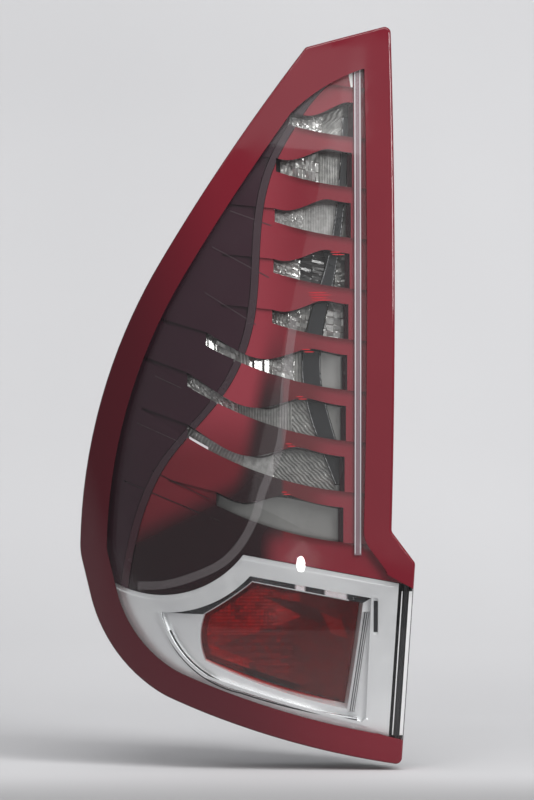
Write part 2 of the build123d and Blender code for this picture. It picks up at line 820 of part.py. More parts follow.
above_lip = trimmed(layer(-overrun, bezel_depth + lip_drop), divider(lip_width, True))
with BuildSketch(Plane.XZ) as inboard_strip:
    with BuildLine():
        Polyline((foot - bezel_edge_gap, foot_step_top), (foot - bezel_edge_gap, foot_step_bottom),
                 (foot - foot_lean - bezel_edge_gap, -top), (reach, -top), (reach, foot_step_top), close=True)
    make_face()
inboard_cut = prism(inboard_strip)
pocket_edge = pocket()
ridge_outer = pocket(ridge_width)
pocket_tip_place = pocket_points[6]
pocket_corner = pocket_points[2]
with BuildSketch(Plane.XZ) as ridge_line:
    add(ridge_outer)
    add(pocket_edge, mode=Mode.SUBTRACT)
    with BuildLine():
        Polyline((-reach, pocket_tip_place[1]), pocket_tip_place, pocket_corner, (pocket_corner[0], -reach),
                 (-reach, -reach), close=True)
    make_face(mode=Mode.INTERSECT)
    with Locations(pocket_corner):
        Circle(curl_radius)
ridge = trimmed(layer(bezel_depth - ridge_height, bezel_depth + pocket_depth), ridge_line)

with BuildSketch(Plane.XZ) as slot_outline:
    with Locations((slot_left + slot_width / 2, (slot_top + slot_bottom) / 2)):
        SlotOverall(slot_top - slot_bottom, slot_width, rotation=90)
slot_cut = trimmed(layer(-overrun, bezel_depth + slot_depth), slot_outline)

with BuildPart() as silver_bezel:
    add(bezel_skin)
    add(bezel_hollow, mode=Mode.SUBTRACT)
    add(above_lip, mode=Mode.SUBTRACT)
    add(pocket_block)
    add(inboard_cut, mode=Mode.SUBTRACT)
    add(funnel.part)
    add(pocket_cut, mode=Mode.SUBTRACT)
    add(ridge)
    add(funnel_cut, mode=Mode.SUBTRACT)
    add(lens_seat_cut, mode=Mode.SUBTRACT)
    add(slot_cut, mode=Mode.SUBTRACT)
silver_bezel.part.label = "silver_bezel"
export_step(silver_bezel.part, "parts/silver_bezel.step")


def flute_line(share, height):
    """Point at a height on a line beside the funnel's inboard edge."""
    upper = fog_height + fog_top_right[1] * lean_scale
    lower = fog_height + fog_bottom_right[1] * lean_scale
    part = (height - lower) / (upper - lower)
    edge = fog_x + fog_bottom_right[0] + (fog_top_right[0] - fog_bottom_right[0]) * part + funnel_flare + fit
    return (edge + flutes_width * share, height)


# Flute bar: chromed steps on the pocket floor, along the inboard edge of the fog lens
steps = []
for n in range(flute_steps):
    near_share = n / flute_steps
    with BuildSketch(Plane.XZ) as step_outline:
        with BuildLine():
            Polyline(flute_line(near_share, flutes_top), flute_line(1.0, flutes_top),
                     flute_line(1.0, flutes_bottom), flute_line(near_share, flutes_bottom), close=True)
        make_face()
    step_back = pocket_floor - step_height * n
    steps.append(trimmed(layer(step_back - step_height, step_back), step_outline))

with BuildPart() as flute_bar:
    add(steps)
flute_bar.part.label = "flute_bar"
export_step(flute_bar.part, "parts/flute_bar.step")

# Fog lens: crowned deep red lens with a flange behind the funnel
lens_flange = fog_block(fog_depth, fog_depth + fog_flange, funnel_wall, funnel_wall)
lens_body = fog_block(fog_depth - fog_lens_height, fog_depth + fog_flange, -fit, -fit)
lens_inside = fog_block(fog_depth - fog_lens_height, fog_depth + fog_flange,
                        -fit - fog_lens_wall, -fit - fog_lens_wall)
crown_centre = fog_plane.offset(fog_lens_height - fog_depth - fog_crown_radius).origin
with BuildPart() as crowned_body:
    add(lens_body)
    with Locations(crown_centre):
        Sphere(fog_crown_radius, mode=Mode.INTERSECT)
with BuildPart() as crowned_inside:
    add(lens_inside)
    with Locations(crown_centre):
        Sphere(fog_crown_radius - fog_lens_wall, mode=Mode.INTERSECT)

with BuildPart() as fog_lens:
    add(lens_flange)
    add(crowned_body.part)
    add(crowned_inside.part, mode=Mode.SUBTRACT)
fog_lens.part.label = "fog_lens"
export_step(fog_lens.part, "parts/fog_lens.step")

# Fog reflector: chromed bowl whose flange lies on the back of the fog lens
fog_place = bulb_places[-1]
fog_mouth = fog_depth + fog_flange
fog_overshoot = surface_y(*fog_place, fog_depth)
fog_bowl_outer = bowl(fog_bowl_radius + bowl_wall, bowl_throat + bowl_wall, fog_overshoot, bowl_throat_y,
                      fog_place)
fog_bowl_inner = bowl(fog_bowl_radius, bowl_throat, fog_overshoot, bowl_throat_y, fog_place)
fog_flange_block = fog_block(fog_mouth, fog_mouth + fog_flange, funnel_wall, funnel_wall)

with BuildPart() as fog_reflector:
    add(fog_bowl_outer)
    with BuildSketch(fog_plane.offset(-fog_mouth)):
        Rectangle(reach, reach)
    extrude(amount=reach, mode=Mode.SUBTRACT)
    add(fog_flange_block)
    add(fog_bowl_inner, mode=Mode.SUBTRACT)
fog_reflector.part.label = "fog_reflector"
export_step(fog_reflector.part, "parts/fog_reflector.step")

# Bulbs: a bayonet base and a blown glass each, the glass a ball that tapers straight to its neck
base_top = bulb_seat - bulb_base_length
ball_y = bulb_tip + bulb_glass_radius
neck = (bulb_base_radius - fit, base_top)
neck_run = sqrt(neck[0] ** 2 + (base_top - ball_y) ** 2)
taper_turn = atan2(neck[0], base_top - ball_y) + acos(bulb_glass_radius / neck_run)
shoulder = (bulb_glass_radius * sin(taper_turn), ball_y + bulb_glass_radius * cos(taper_turn))
for name, (x, z) in zip(bulb_names, bulb_places):
    bulb_plane = Plane((x, 0, z), x_dir=(1, 0, 0), z_dir=(0, 0, 1))
    bulb_axis = Axis((x, 0, z), (0, 1, 0))
    with BuildPart() as bulb_base:
        with BuildSketch(Plane.XZ.offset(-bulb_seat)):
            with Locations((x, z)):
                Circle(bulb_base_radius)
        extrude(amount=bulb_base_length)
        chamfer(bulb_base.edges().sort_by(Axis.Y)[-1], bulb_base_chamfer)
    bulb_base.part.label = f"bulb_base_{name}"
    export_step(bulb_base.part, f"parts/bulb_base_{name}.step")

    with BuildPart() as bulb_glass:
        with BuildSketch(bulb_plane):
            with BuildLine():
                ThreePointArc((0, bulb_tip), (bulb_glass_radius, ball_y), shoulder)
                Polyline(shoulder, neck, (0, base_top), (0, bulb_tip))
            make_face()
        revolve(axis=bulb_axis)
    bulb_glass.part.label = f"bulb_glass_{name}"
    export_step(bulb_glass.part, f"parts/bulb_glass_{name}.step")

# Bulb carrier: plate over the opening in the housing, with a tower for each bulb
on_carrier = Location((carrier_x, carrier_z, 0), (0, 0, carrier_lean))
carrier_outline = carrier_frame(carrier_width, carrier_length, carrier_corner)

with BuildPart() as bulb_carrier:
    with BuildSketch(Plane.XZ.offset(-carrier_back)):
        add(carrier_outline)
    extrude(amount=carrier_plate)
    with BuildSketch(Plane.XZ.offset(-carrier_y)):
        with Locations(*bulb_places):
            Circle(bulb_base_radius + bulb_fit + tower_wall)
    extrude(amount=tower_length)
    with BuildSketch(Plane.XZ.offset(-bulb_seat)):
        with Locations(*bulb_places):
            Circle(bulb_base_radius + bulb_fit)
    extrude(amount=tower_length, mode=Mode.SUBTRACT)
bulb_carrier.part.label = "bulb_carrier"
export_step(bulb_carrier.part, "parts/bulb_carrier.step")

with BuildPart() as carrier_gasket:
    with BuildSketch(Plane.XZ.offset(-carrier_y)):
        add(carrier_outline)
        add(carrier_opening, mode=Mode.SUBTRACT)
    extrude(amount=carrier_gasket_thickness)
carrier_gasket.part.label = "carrier_gasket"
export_step(carrier_gasket.part, "parts/carrier_gasket.step")

# Contact strips: two stamped tracks on the back of the carrier, with a branch at each bulb
with BuildPart() as contact_strips:
    with BuildSketch(Plane.XZ.offset(-carrier_back)):
        with Locations(on_carrier):
            with Locations((-strip_spread, 0), (strip_spread, 0)):
                Rectangle(strip_width, bulb_row + strip_width)
            with GridLocations(0, bulb_pitch, 1, len(bulb_names)):
                with Locations((-strip_spread + branch_run / 2, 0), (strip_spread - branch_run / 2, 0)):
                    Rectangle(branch_run, strip_width)
    extrude(amount=-strip_thickness)
contact_strips.part.label = "contact_strips"
export_step(contact_strips.part, "parts/contact_strips.step")

# Connector: a shroud on the carrier with blade terminals in it
with BuildPart() as connector_shroud:
    with BuildSketch(Plane.XZ.offset(-carrier_back)):
        with Locations(on_carrier):
            RectangleRounded(shroud_width, shroud_length, shroud_wall)
    extrude(amount=-shroud_depth)
    with BuildSketch(Plane.XZ.offset(-carrier_back - shroud_floor)):
        with Locations(on_carrier):
            Rectangle(shroud_width - 2 * shroud_wall, shroud_length - 2 * shroud_wall)
    extrude(amount=shroud_floor - shroud_depth, mode=Mode.SUBTRACT)
connector_shroud.part.label = "connector_shroud"
export_step(connector_shroud.part, "parts/connector_shroud.step")

with BuildPart() as connector_terminals:
    with BuildSketch(Plane.XZ.offset(-carrier_back - shroud_floor)):
        with Locations(on_carrier):
            with GridLocations(0, terminal_pitch, 1, terminal_count):
                Rectangle(terminal_thickness, terminal_width)
    extrude(amount=-terminal_length)
connector_terminals.part.label = "connector_terminals"
export_step(connector_terminals.part, "parts/connector_terminals.step")

# Latches: spring clips that stand on the housing and hook over both ends of the carrier
with BuildPart() as carrier_latches:
    for end in (-1, 1):
        post_at = end * (carrier_length / 2 + fit + latch_thickness / 2)
        hook_at = end * (carrier_length / 2 + fit + latch_thickness - (latch_hook + latch_thickness) / 2)
        with BuildSketch(Plane.XZ.offset(-back_y)):
            with Locations(on_carrier):
                with Locations((0, post_at)):
                    Rectangle(latch_width, latch_thickness)
        extrude(amount=back_y - carrier_back)
        with BuildSketch(Plane.XZ.offset(-carrier_back)):
            with Locations(on_carrier):
                with Locations((0, hook_at)):
                    Rectangle(latch_width, latch_hook + latch_thickness)
        extrude(amount=-latch_thickness)
carrier_latches.part.label = "carrier_latches"
export_step(carrier_latches.part, "parts/carrier_latches.step")

# Body gasket: foam frame round the carrier, pressed between the housing and the car body
gasket_inner = carrier_frame(carrier_width + 2 * gasket_side_gap, carrier_length + 2 * gasket_end_gap,
                             carrier_corner)
gasket_outer = carrier_frame(carrier_width + 2 * (gasket_side_gap + gasket_width),
                             carrier_length + 2 * (gasket_end_gap + gasket_width),
                             carrier_corner + gasket_width)

with BuildPart() as body_gasket:
    with BuildSketch(Plane.XZ):
        add(gasket_outer)
        add(gasket_inner, mode=Mode.SUBTRACT)
    extrude(amount=gasket_thickness)
body_gasket.part.label = "body_gasket"
export_step(body_gasket.part, "parts/body_gasket.step")


def fixing(places, radius, length):
    """Turned pins with a flange on the seat plane and a root in the housing boss."""
    with BuildPart() as group:
        with BuildSketch(Plane.XZ):
            with Locations(*places):
                Circle(stud_flange_radius)
        extrude(amount=stud_flange)
        with BuildSketch(Plane.XZ):
            with Locations(*places):
                Circle(stud_root_radius)
        extrude(amount=stud_flange + stud_root)
        with BuildSketch(Plane.XZ):
            with Locations(*places):
                Circle(radius)
        extrude(amount=-length)
        chamfer(group.faces().group_by(Axis.Y)[-1].edges(), tip_chamfer)
    return group


fixing_studs = fixing(stud_places, stud_radius, stud_length)
fixing_studs.part.label = "fixing_studs"
export_step(fixing_studs.part, "parts/fixing_studs.step")

locating_pins = fixing(pin_places, pin_radius, pin_length)
locating_pins.part.label = "locating_pins"
export_step(locating_pins.part, "parts/locating_pins.step")

# Breather caps on the back of the housing
with BuildPart() as vent_caps:
    with BuildSketch(Plane.XZ.offset(-back_y)):
        with Locations(*vent_places):
            Circle(vent_radius)
    extrude(amount=-vent_height)
    chamfer(vent_caps.faces().group_by(Axis.Y)[-1].edges(), vent_chamfer)
vent_caps.part.label = "vent_caps"
export_step(vent_caps.part, "parts/vent_caps.step")
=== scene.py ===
"""Looks of a car's left rear lamp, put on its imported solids: moulded housing and fixings,
bulb carrier, chromed reflectors, red rib screen, silver bezel, fog lamp and two-colour lens.
"""

import math
import random

import bmesh
import bpy
from mathutils import Matrix, Vector
from mathutils.bvhtree import BVHTree
from mathutils.geometry import interpolate_bezier


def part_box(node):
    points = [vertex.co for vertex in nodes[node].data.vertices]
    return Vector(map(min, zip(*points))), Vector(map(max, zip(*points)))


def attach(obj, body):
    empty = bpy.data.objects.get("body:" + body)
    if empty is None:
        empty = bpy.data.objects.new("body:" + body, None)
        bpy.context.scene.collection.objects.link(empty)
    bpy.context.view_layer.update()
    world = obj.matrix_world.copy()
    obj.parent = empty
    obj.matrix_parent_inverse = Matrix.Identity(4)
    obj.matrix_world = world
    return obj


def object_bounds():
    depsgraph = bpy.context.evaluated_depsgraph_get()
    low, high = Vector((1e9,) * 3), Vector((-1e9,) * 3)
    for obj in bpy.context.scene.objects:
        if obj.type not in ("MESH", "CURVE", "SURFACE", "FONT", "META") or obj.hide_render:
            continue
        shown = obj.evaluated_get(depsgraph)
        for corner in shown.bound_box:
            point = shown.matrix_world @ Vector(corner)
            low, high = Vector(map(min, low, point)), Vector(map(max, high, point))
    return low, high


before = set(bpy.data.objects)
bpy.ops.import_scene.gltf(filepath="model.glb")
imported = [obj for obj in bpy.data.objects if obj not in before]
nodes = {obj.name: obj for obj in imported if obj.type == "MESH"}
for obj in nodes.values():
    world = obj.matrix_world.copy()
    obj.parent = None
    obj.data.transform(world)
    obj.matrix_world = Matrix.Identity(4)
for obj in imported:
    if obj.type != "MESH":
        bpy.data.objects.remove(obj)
cad_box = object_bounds()


# Housing: the black body behind the lens, injection moulded in a filled plastic with a fine
# spark-eroded grain.  The two plastic locating pins are pressed into its bosses.
def finish_with(name, sockets):
    """New material whose shader has the given values on its own sockets."""
    material = bpy.data.materials.new(name)
    material.use_nodes = True
    tree = material.node_tree
    shader = tree.nodes["Principled BSDF"]
    for socket, value in sockets.items():
        shader.inputs[socket].default_value = value
    return material, tree, shader


def cloudiness(tree, scale, detail, stretch=(1.0, 1.0, 1.0)):
    """Noise that lies still in the piece, as a factor from 0 to 1."""
    place = tree.nodes.new("ShaderNodeTexCoord")
    squeeze = tree.nodes.new("ShaderNodeMapping")
    noise = tree.nodes.new("ShaderNodeTexNoise")
    squeeze.inputs["Scale"].default_value = stretch
    noise.inputs["Scale"].default_value = scale
    noise.inputs["Detail"].default_value = detail
    tree.links.new(place.outputs["Object"], squeeze.inputs["Vector"])
    tree.links.new(squeeze.outputs["Vector"], noise.inputs["Vector"])
    return noise.outputs["Fac"]


def shade_between(tree, shader, factor, low, high):
    """Base colour that wanders between two shades."""
    shades = tree.nodes.new("ShaderNodeValToRGB")
    for stop, position, colour in zip(shades.color_ramp.elements, (0.3, 0.7), (low, high)):
        stop.position = position
        stop.color = (*colour, 1.0)
    tree.links.new(factor, shades.inputs["Fac"])
    tree.links.new(shades.outputs["Color"], shader.inputs["Base Color"])


def gloss_between(tree, shader, factor, low, high):
    """Roughness that wanders between two values."""
    spread = tree.nodes.new("ShaderNodeMapRange")
    spread.inputs["From Min"].default_value = 0.3
    spread.inputs["From Max"].default_value = 0.7
    spread.inputs["To Min"].default_value = low
    spread.inputs["To Max"].default_value = high
    tree.links.new(factor, spread.inputs["Value"])
    tree.links.new(spread.outputs["Result"], shader.inputs["Roughness"])


def grain(tree, shader, factor, height):
    """Fine surface relief, as a height in metres."""
    bump = tree.nodes.new("ShaderNodeBump")
    bump.inputs["Distance"].default_value = height
    tree.links.new(factor, bump.inputs["Height"])
    tree.links.new(bump.outputs["Normal"], shader.inputs["Normal"])


def clouded_plastic(name, low, high, roughness, spread=0.06, ior=1.5):
    """Moulded plastic with a clouded shade and gloss, with its nodes for what is added to it."""
    material, tree, shader = finish_with(name, {"IOR": ior})
    shade_between(tree, shader, cloudiness(tree, scale=14.0, detail=4.0), low, high)
    clouds = cloudiness(tree, scale=60.0, detail=3.0)
    gloss_between(tree, shader, clouds, roughness - spread, roughness + spread)
    return material, tree, shader


def moulded_plastic(name, low, high, roughness, grain_scale=40.0, grain_height=0.00001):
    """Clouded plastic with the grain of its mould, polished where no grain is given."""
    material, tree, shader = clouded_plastic(name, low, high, roughness)
    grain(tree, shader, cloudiness(tree, scale=grain_scale, detail=2.0), grain_height)
    return material


def coat(node, material):
    """The piece's only finish."""
    nodes[node].data.materials.clear()
    nodes[node].data.materials.append(material)


coat("housing", moulded_plastic("housing_black", (0.016, 0.016, 0.018), (0.024, 0.024, 0.026),
                                roughness=0.52, grain_scale=1400.0, grain_height=0.0002))
coat("locating_pins", moulded_plastic("pin_black", (0.02, 0.02, 0.022), (0.03, 0.03, 0.032),
                                      roughness=0.45, grain_scale=900.0, grain_height=0.0001))


# Seals: the bead in the weld seam, the gasket under the bulb carrier and the two breather
# caps are soft black rubber, the body gasket is grey closed-cell foam.
def rubber(name, low, high, pore_scale, pore_height):
    """Matt rubber or foam with fine pores."""
    material, tree, shader = finish_with(name, {"IOR": 1.45, "Specular IOR Level": 0.3})
    shade_between(tree, shader, cloudiness(tree, scale=45.0, detail=3.0), low, high)
    gloss_between(tree, shader, cloudiness(tree, scale=90.0, detail=2.0), 0.72, 0.86)
    grain(tree, shader, cloudiness(tree, scale=pore_scale, detail=2.0), pore_height)
    return material


seal_black = rubber("seal_black", (0.012, 0.012, 0.012), (0.02, 0.02, 0.02),
                    pore_scale=800.0, pore_height=0.0002)
for seal in ("lens_seal", "carrier_gasket", "vent_caps"):
    coat(seal, seal_black)
coat("body_gasket", rubber("foam_grey", (0.045, 0.046, 0.048), (0.075, 0.076, 0.08),
                           pore_scale=520.0, pore_height=0.0006))


# Fixings: turned steel studs with a zinc coat, pressed into the housing bosses, the spring
# latches that hook over the ends of the carrier, and the screws of the reflector.
def plated_metal(name, low, high, roughness, streak=(1.0, 1.0, 1.0), relief=0.00001, metal=1.0):
    """Plated or drawn metal, or metallic paint, its finish drawn out along one direction."""
    material, tree, shader = finish_with(name, {"Metallic": metal})
    shade_between(tree, shader, cloudiness(tree, scale=30.0, detail=4.0), low, high)
    drawn_gloss = cloudiness(tree, scale=120.0, detail=3.0, stretch=streak)
    gloss_between(tree, shader, drawn_gloss, roughness - 0.05, roughness + 0.07)
    grain(tree, shader, cloudiness(tree, scale=300.0, detail=3.0, stretch=streak), relief)
    return material


zinc = plated_metal("zinc_steel", (0.5, 0.5, 0.47), (0.64, 0.64, 0.62), roughness=0.32,
                    streak=(1.0, 8.0, 1.0), relief=0.00005)
for fixing in ("fixing_studs", "carrier_latches", "reflector_screws"):
    coat(fixing, zinc)

# Stud threads: the free ends of the two steel studs carry a thread, rolled into them with a
# pitch of one millimetre, for the nuts that draw the lamp against the car body.
MM = 0.001
stud_heights = (110.0, -110.0)
thread_start = 2.0
thread_turns = 21
thread_pitch = 1.0
thread_root = 2.95
thread_crest = 3.14
thread_steps = 24
thread_merge = 0.01
thread_order = Vector((0.01, 1.0, 0.001))


def place_piece(name, mesh, materials):
    """New piece of the lamp from its mesh, in the frame and riding on the lamp."""
    data = bpy.data.meshes.new(name)
    mesh.to_mesh(data)
    mesh.free()
    for material in materials:
        data.materials.append(material)
    piece = bpy.data.objects.new(name, data)
    bpy.context.scene.collection.objects.link(piece)
    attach(piece, "root")
    return piece


for number, height in enumerate(stud_heights, 1):
    thread = bmesh.new()
    flank = []
    for n in range(2 * thread_turns + 1):
        radius = thread_crest if n % 2 else thread_root
        reach = thread_start + thread_pitch * n / 2.0
        flank.append(thread.verts.new((radius * MM, reach * MM, height * MM)))
    flank += [thread.edges.new(pair) for pair in zip(flank, flank[1:])]
    bmesh.ops.spin(thread, geom=flank, cent=(0.0, 0.0, height * MM), axis=(0.0, 1.0, 0.0),
                   angle=2.0 * math.pi, dvec=(0.0, thread_pitch / thread_steps * MM, 0.0), steps=thread_steps)
    bmesh.ops.remove_doubles(thread, verts=thread.verts, dist=thread_merge * MM)
    bmesh.ops.recalc_face_normals(thread, faces=thread.faces)
    if sum(face.normal.x * face.calc_center_median().x for face in thread.faces) < 0.0:
        bmesh.ops.reverse_faces(thread, faces=thread.faces)
    # The spin leaves its faces in no fixed order, so they are put in one along the thread
    thread.faces.sort(key=lambda face: face.calc_center_median().dot(thread_order))
    place_piece(f"stud_thread_{number}", thread, [zinc])

# Bulb carrier: a grey moulded plate clipped over the opening in the housing, with stamped
# copper tracks on its back and a plug socket with six blades.
coat("bulb_carrier", moulded_plastic("carrier_grey", (0.2, 0.205, 0.21), (0.25, 0.255, 0.26),
                                     roughness=0.5, grain_scale=900.0, grain_height=0.0001))
coat("connector_shroud", moulded_plastic("socket_black", (0.014, 0.014, 0.015), (0.02, 0.02, 0.021),
                                         roughness=0.45, grain_scale=900.0, grain_height=0.0001))
copper = plated_metal("copper_strip", (0.55, 0.31, 0.16), (0.7, 0.42, 0.24), roughness=0.3,
                      streak=(8.0, 8.0, 1.0), relief=0.00004)
coat("contact_strips", copper)
coat("connector_terminals", copper)


# Bulbs: four bayonet bulbs in the towers of the carrier, each a drawn brass base and a blown
# clear glass.
def clear_finish(name, tint, ior, roughness):
    """Thin clear plastic or glass: what is behind shows through a tint, under a gloss."""
    material = bpy.data.materials.new(name)
    material.use_nodes = True
    tree = material.node_tree
    tree.nodes.remove(tree.nodes["Principled BSDF"])
    through = tree.nodes.new("ShaderNodeBsdfTransparent")
    gloss = tree.nodes.new("ShaderNodeBsdfGlossy")
    edge = tree.nodes.new("ShaderNodeFresnel")
    mix = tree.nodes.new("ShaderNodeMixShader")
    side = tree.nodes.new("ShaderNodeNewGeometry")
    index = tree.nodes.new("ShaderNodeMapRange")
    through.inputs["Color"].default_value = (*tint, 1.0)
    gloss.inputs["Roughness"].default_value = roughness
    index.inputs["To Min"].default_value = ior
    index.inputs["To Max"].default_value = 1.0 / ior
    tree.links.new(side.outputs["Backfacing"], index.inputs["Value"])
    tree.links.new(index.outputs["Result"], edge.inputs["IOR"])
    tree.links.new(edge.outputs["Fac"], mix.inputs["Fac"])
    tree.links.new(through.outputs["BSDF"], mix.inputs[1])
    tree.links.new(gloss.outputs["BSDF"], mix.inputs[2])
    tree.links.new(mix.outputs["Shader"], tree.nodes["Material Output"].inputs["Surface"])
    return material


bulb_glass = clear_finish("bulb_glass", tint=(0.92, 0.92, 0.92), ior=1.5, roughness=0.02)
bulb_brass = plated_metal("bulb_brass", (0.58, 0.44, 0.22), (0.72, 0.56, 0.3), roughness=0.28,
                          streak=(1.0, 6.0, 1.0), relief=0.00003)
for bulb in ("stop_tail", "indicator", "reverse", "fog"):
    coat(f"bulb_glass_{bulb}", bulb_glass)
    coat(f"bulb_base_{bulb}", bulb_brass)

# Reflectors: moulded plates with a bowl for each bulb, vacuum metallised, and a dark rib that
# stands on the upper one and parts it into two fields.
chrome = plated_metal("chrome_plate", (0.72, 0.73, 0.74), (0.8, 0.81, 0.81), roughness=0.1)
coat("reflector", chrome)
# The fog reflector's plating is a dimmed copy of the chrome: painted shade
coat("fog_reflector", plated_metal("bowl_painted_shade", (0.24, 0.24, 0.24), (0.3, 0.3, 0.3), roughness=0.2))
coat("reflector_rib", moulded_plastic("rib_dark", (0.014, 0.015, 0.017), (0.02, 0.022, 0.024),
                                      roughness=0.3, grain_scale=300.0))

# Prism optics: a moulded strip behind each opening of the rib screen, seated on the reflector.
# Its facets throw the light back like silver: scalloped flutes, ripples, tilted facets, fine
# speckle and smooth fields, parted by the dark rib.
face_radius = 600.0
rise_radius = 900.0
lamp_depth = 118.0
flank_start_x = -3.0
flank_reach = 90.0
flank_start_angle = math.radians(6.0)
flank_end_angle = math.radians(46.0)
flank_sin = math.sin(flank_start_angle)
flank_cos = math.cos(flank_start_angle)
flank_radius = flank_reach / (math.sin(flank_end_angle) - flank_sin)
apex_x = face_radius * flank_sin + flank_start_x
row_right = 81.0
row_drift = 0.8
first_row = 163.0
row_pitch = 32.0
row_edge_radius = 234.0
row_edge_tilt = math.radians(6.0)
opening_height = 22.0


def face_y(x, z, depth):
    """Where a layer of the lens face stands, at a depth in from its outer side, in mm."""
    radius = face_radius
    middle = apex_x
    back = face_radius - rise_radius
    if x < apex_x - (face_radius - depth) * flank_sin:
        radius = flank_radius
        middle = apex_x - (face_radius - flank_radius) * flank_sin
        back = back - (face_radius - flank_radius) * flank_cos
    section = back - math.sqrt((radius - depth) ** 2 - (x - middle) ** 2)
    return rise_radius - lamp_depth - math.sqrt(section ** 2 - z ** 2)


def row_corner(row):
    """Lower right corner of an opening, in mm."""
    return row_right - row_drift * row, first_row - row_pitch * row


def edge_rise(run):
    """Rise of a blade's edge at a run outboard of its right end, in mm."""
    slope = math.sin(row_edge_tilt) + run / row_edge_radius
    return row_edge_radius * (math.cos(row_edge_tilt) - math.sqrt(1.0 - slope ** 2))


def flutes(pitch, depth, lean=0.0):
    """Scalloped flutes, leaning by a share of the height."""
    return lambda u, v: depth * abs(math.sin(math.pi * (u + lean * v) / pitch))


def ripples(pitch, depth, lean, waver):
    """Leaning ripples that waver along the strip and up it."""
    waver_up = 0.9
    waver_along = 0.35

    def height(u, v):
        phase = 2.0 * math.pi * (u + lean * v) / pitch + waver * math.sin(v * waver_up + u * waver_along)
        return depth * (0.5 + 0.5 * math.sin(phase))
    return height


def facets(wide, high, tilt, seed):
    """Field of flat facets, each tilted its own way by a seed from its place."""
    facet_base = 0.8

    def height(u, v):
        column = math.floor(u / wide)
        line = math.floor(v / high)
        turn = random.Random(seed * 7919 + column * 131 + line * 17)
        lean_u = turn.uniform(-tilt, tilt)
        lean_v = turn.uniform(-tilt, tilt)
        return facet_base + lean_u * (u - (column + 0.5) * wide) + lean_v * (v - (line + 0.5) * high)
    return height


def smooth(hollow, lean, top=1.0):
    """Smooth field, hollowed along the row and leaning back or forward."""
    hollow_rate = 0.2
    return lambda u, v: top + hollow * math.sin(u * hollow_rate) - lean * (v - opening_height / 2.0)


def raised(shape, lift, lean=0.0):
    """The same relief, standing nearer to the screen and leaning back."""
    lean_foot = 5.0
    return lambda u, v: lift + shape(u, v) - lean * (v - lean_foot)


def teeth(pitch, slope):
    """Saw teeth whose faces look inboard."""
    return lambda u, v: slope * (u % pitch)


def prism_finish(name, low, high):
    """Metallised moulding seen through its own clear facets: finely mottled, half mirror and half milk."""
    material, tree, shader = finish_with(name, {"Metallic": 0.5})
    shade_between(tree, shader, cloudiness(tree, scale=320.0, detail=3.0), low, high)
    gloss_between(tree, shader, cloudiness(tree, scale=120.0, detail=3.0), 0.14, 0.26)
    return material


# Five copies of one metallised finish, lighter and darker: painted light and shade, each field given the tone
# it shows
prism_silvers = [prism_finish("prism_silver", (0.22, 0.22, 0.21), (0.38, 0.38, 0.36)),
                 prism_finish("prism_painted_bright", (0.36, 0.36, 0.345), (0.6, 0.6, 0.58)),
                 prism_finish("prism_plain", (0.28, 0.28, 0.268), (0.31, 0.31, 0.298)),
                 prism_finish("prism_painted_pale", (0.4, 0.4, 0.385), (0.43, 0.43, 0.415)),
                 prism_finish("prism_painted_shade", (0.05, 0.05, 0.049), (0.08, 0.08, 0.078))]
silver, bright, plain, pale, painted_shade_finish = range(len(prism_silvers))

# The fields of each row from its right end outboard: the run where a field ends, its relief and finish, a
# lighter or darker painted copy
row_optics = (
    ((6.0, facets(2.0, 3.0, 0.25, 1), silver),
     (20.0, raised(ripples(2.6, 0.16, 0.7, 1.8), 1.5), silver),
     (60.0, raised(facets(2.0, 1.8, 0.36, 2), 4.0), bright)),
    ((4.0, facets(1.8, 1.8, 0.4, 3), bright),
     (21.0, raised(flutes(1.6, 0.1), 1.0), silver),
     (45.6, raised(facets(2.1, 6.5, 0.45, 15), 4.0), bright),
     (60.0, smooth(0.0, 0.0), painted_shade_finish)),
    ((6.0, facets(7.0, 8.0, 0.2, 4), bright),
     (30.0, raised(flutes(1.6, 0.07), 1.0), bright),
     (60.0, raised(facets(1.4, 1.4, 0.12, 5), 3.0), bright)),
    ((9.0, facets(2.6, 2.0, 0.35, 6), silver),
     (31.0, raised(facets(8.0, 2.2, 0.3, 7), 1.0), painted_shade_finish),
     (60.0, raised(facets(4.0, 1.8, 0.35, 8), 3.5), bright)),
    ((16.0, facets(4.6, 4.2, 0.3, 9), bright),
     (35.0, raised(facets(3.0, 2.8, 0.25, 10), 1.5), silver),
     (60.0, raised(facets(1.8, 1.8, 0.25, 11), 3.5), silver)),
    ((18.0, smooth(0.3, -0.02), pale),
     (33.0, raised(flutes(2.4, 0.2), 1.5), silver),
     (49.0, raised(facets(2.6, 3.0, 0.3, 12), 3.0), bright),
     (62.0, raised(teeth(6.5, 0.4), 3.4, 0.05), bright),
     (68.0, raised(flutes(2.0, 0.2), 4.8), bright),
     (82.0, raised(facets(3.2, 4.0, 0.3, 13), 4.8), bright),
     (99.0, raised(teeth(4.6, 0.42), 4.0, 0.05), bright)),
    ((12.0, raised(smooth(0.2, 0.03), 1.5), plain),
     (34.0, raised(ripples(3.4, 0.2, -1.1, 0.8), 1.5), silver),
     (68.0, raised(flutes(1.7, 0.16), 3.6), silver),
     (110.0, raised(facets(1.9, 2.4, 0.25, 14), 5.2), bright)),
    ((6.0, smooth(0.1, 0.05), silver),
     (45.0, raised(ripples(3.6, 0.22, -1.3, 0.8), 1.5), silver),
     (64.0, raised(smooth(0.05, 0.0, 0.0), 3.4, 0.06), bright),
     (110.0, raised(flutes(1.9, 0.24, 0.4), 4.8), bright)),
    ((90.0, raised(smooth(0.05, 0.03), 1.5), plain),),
)
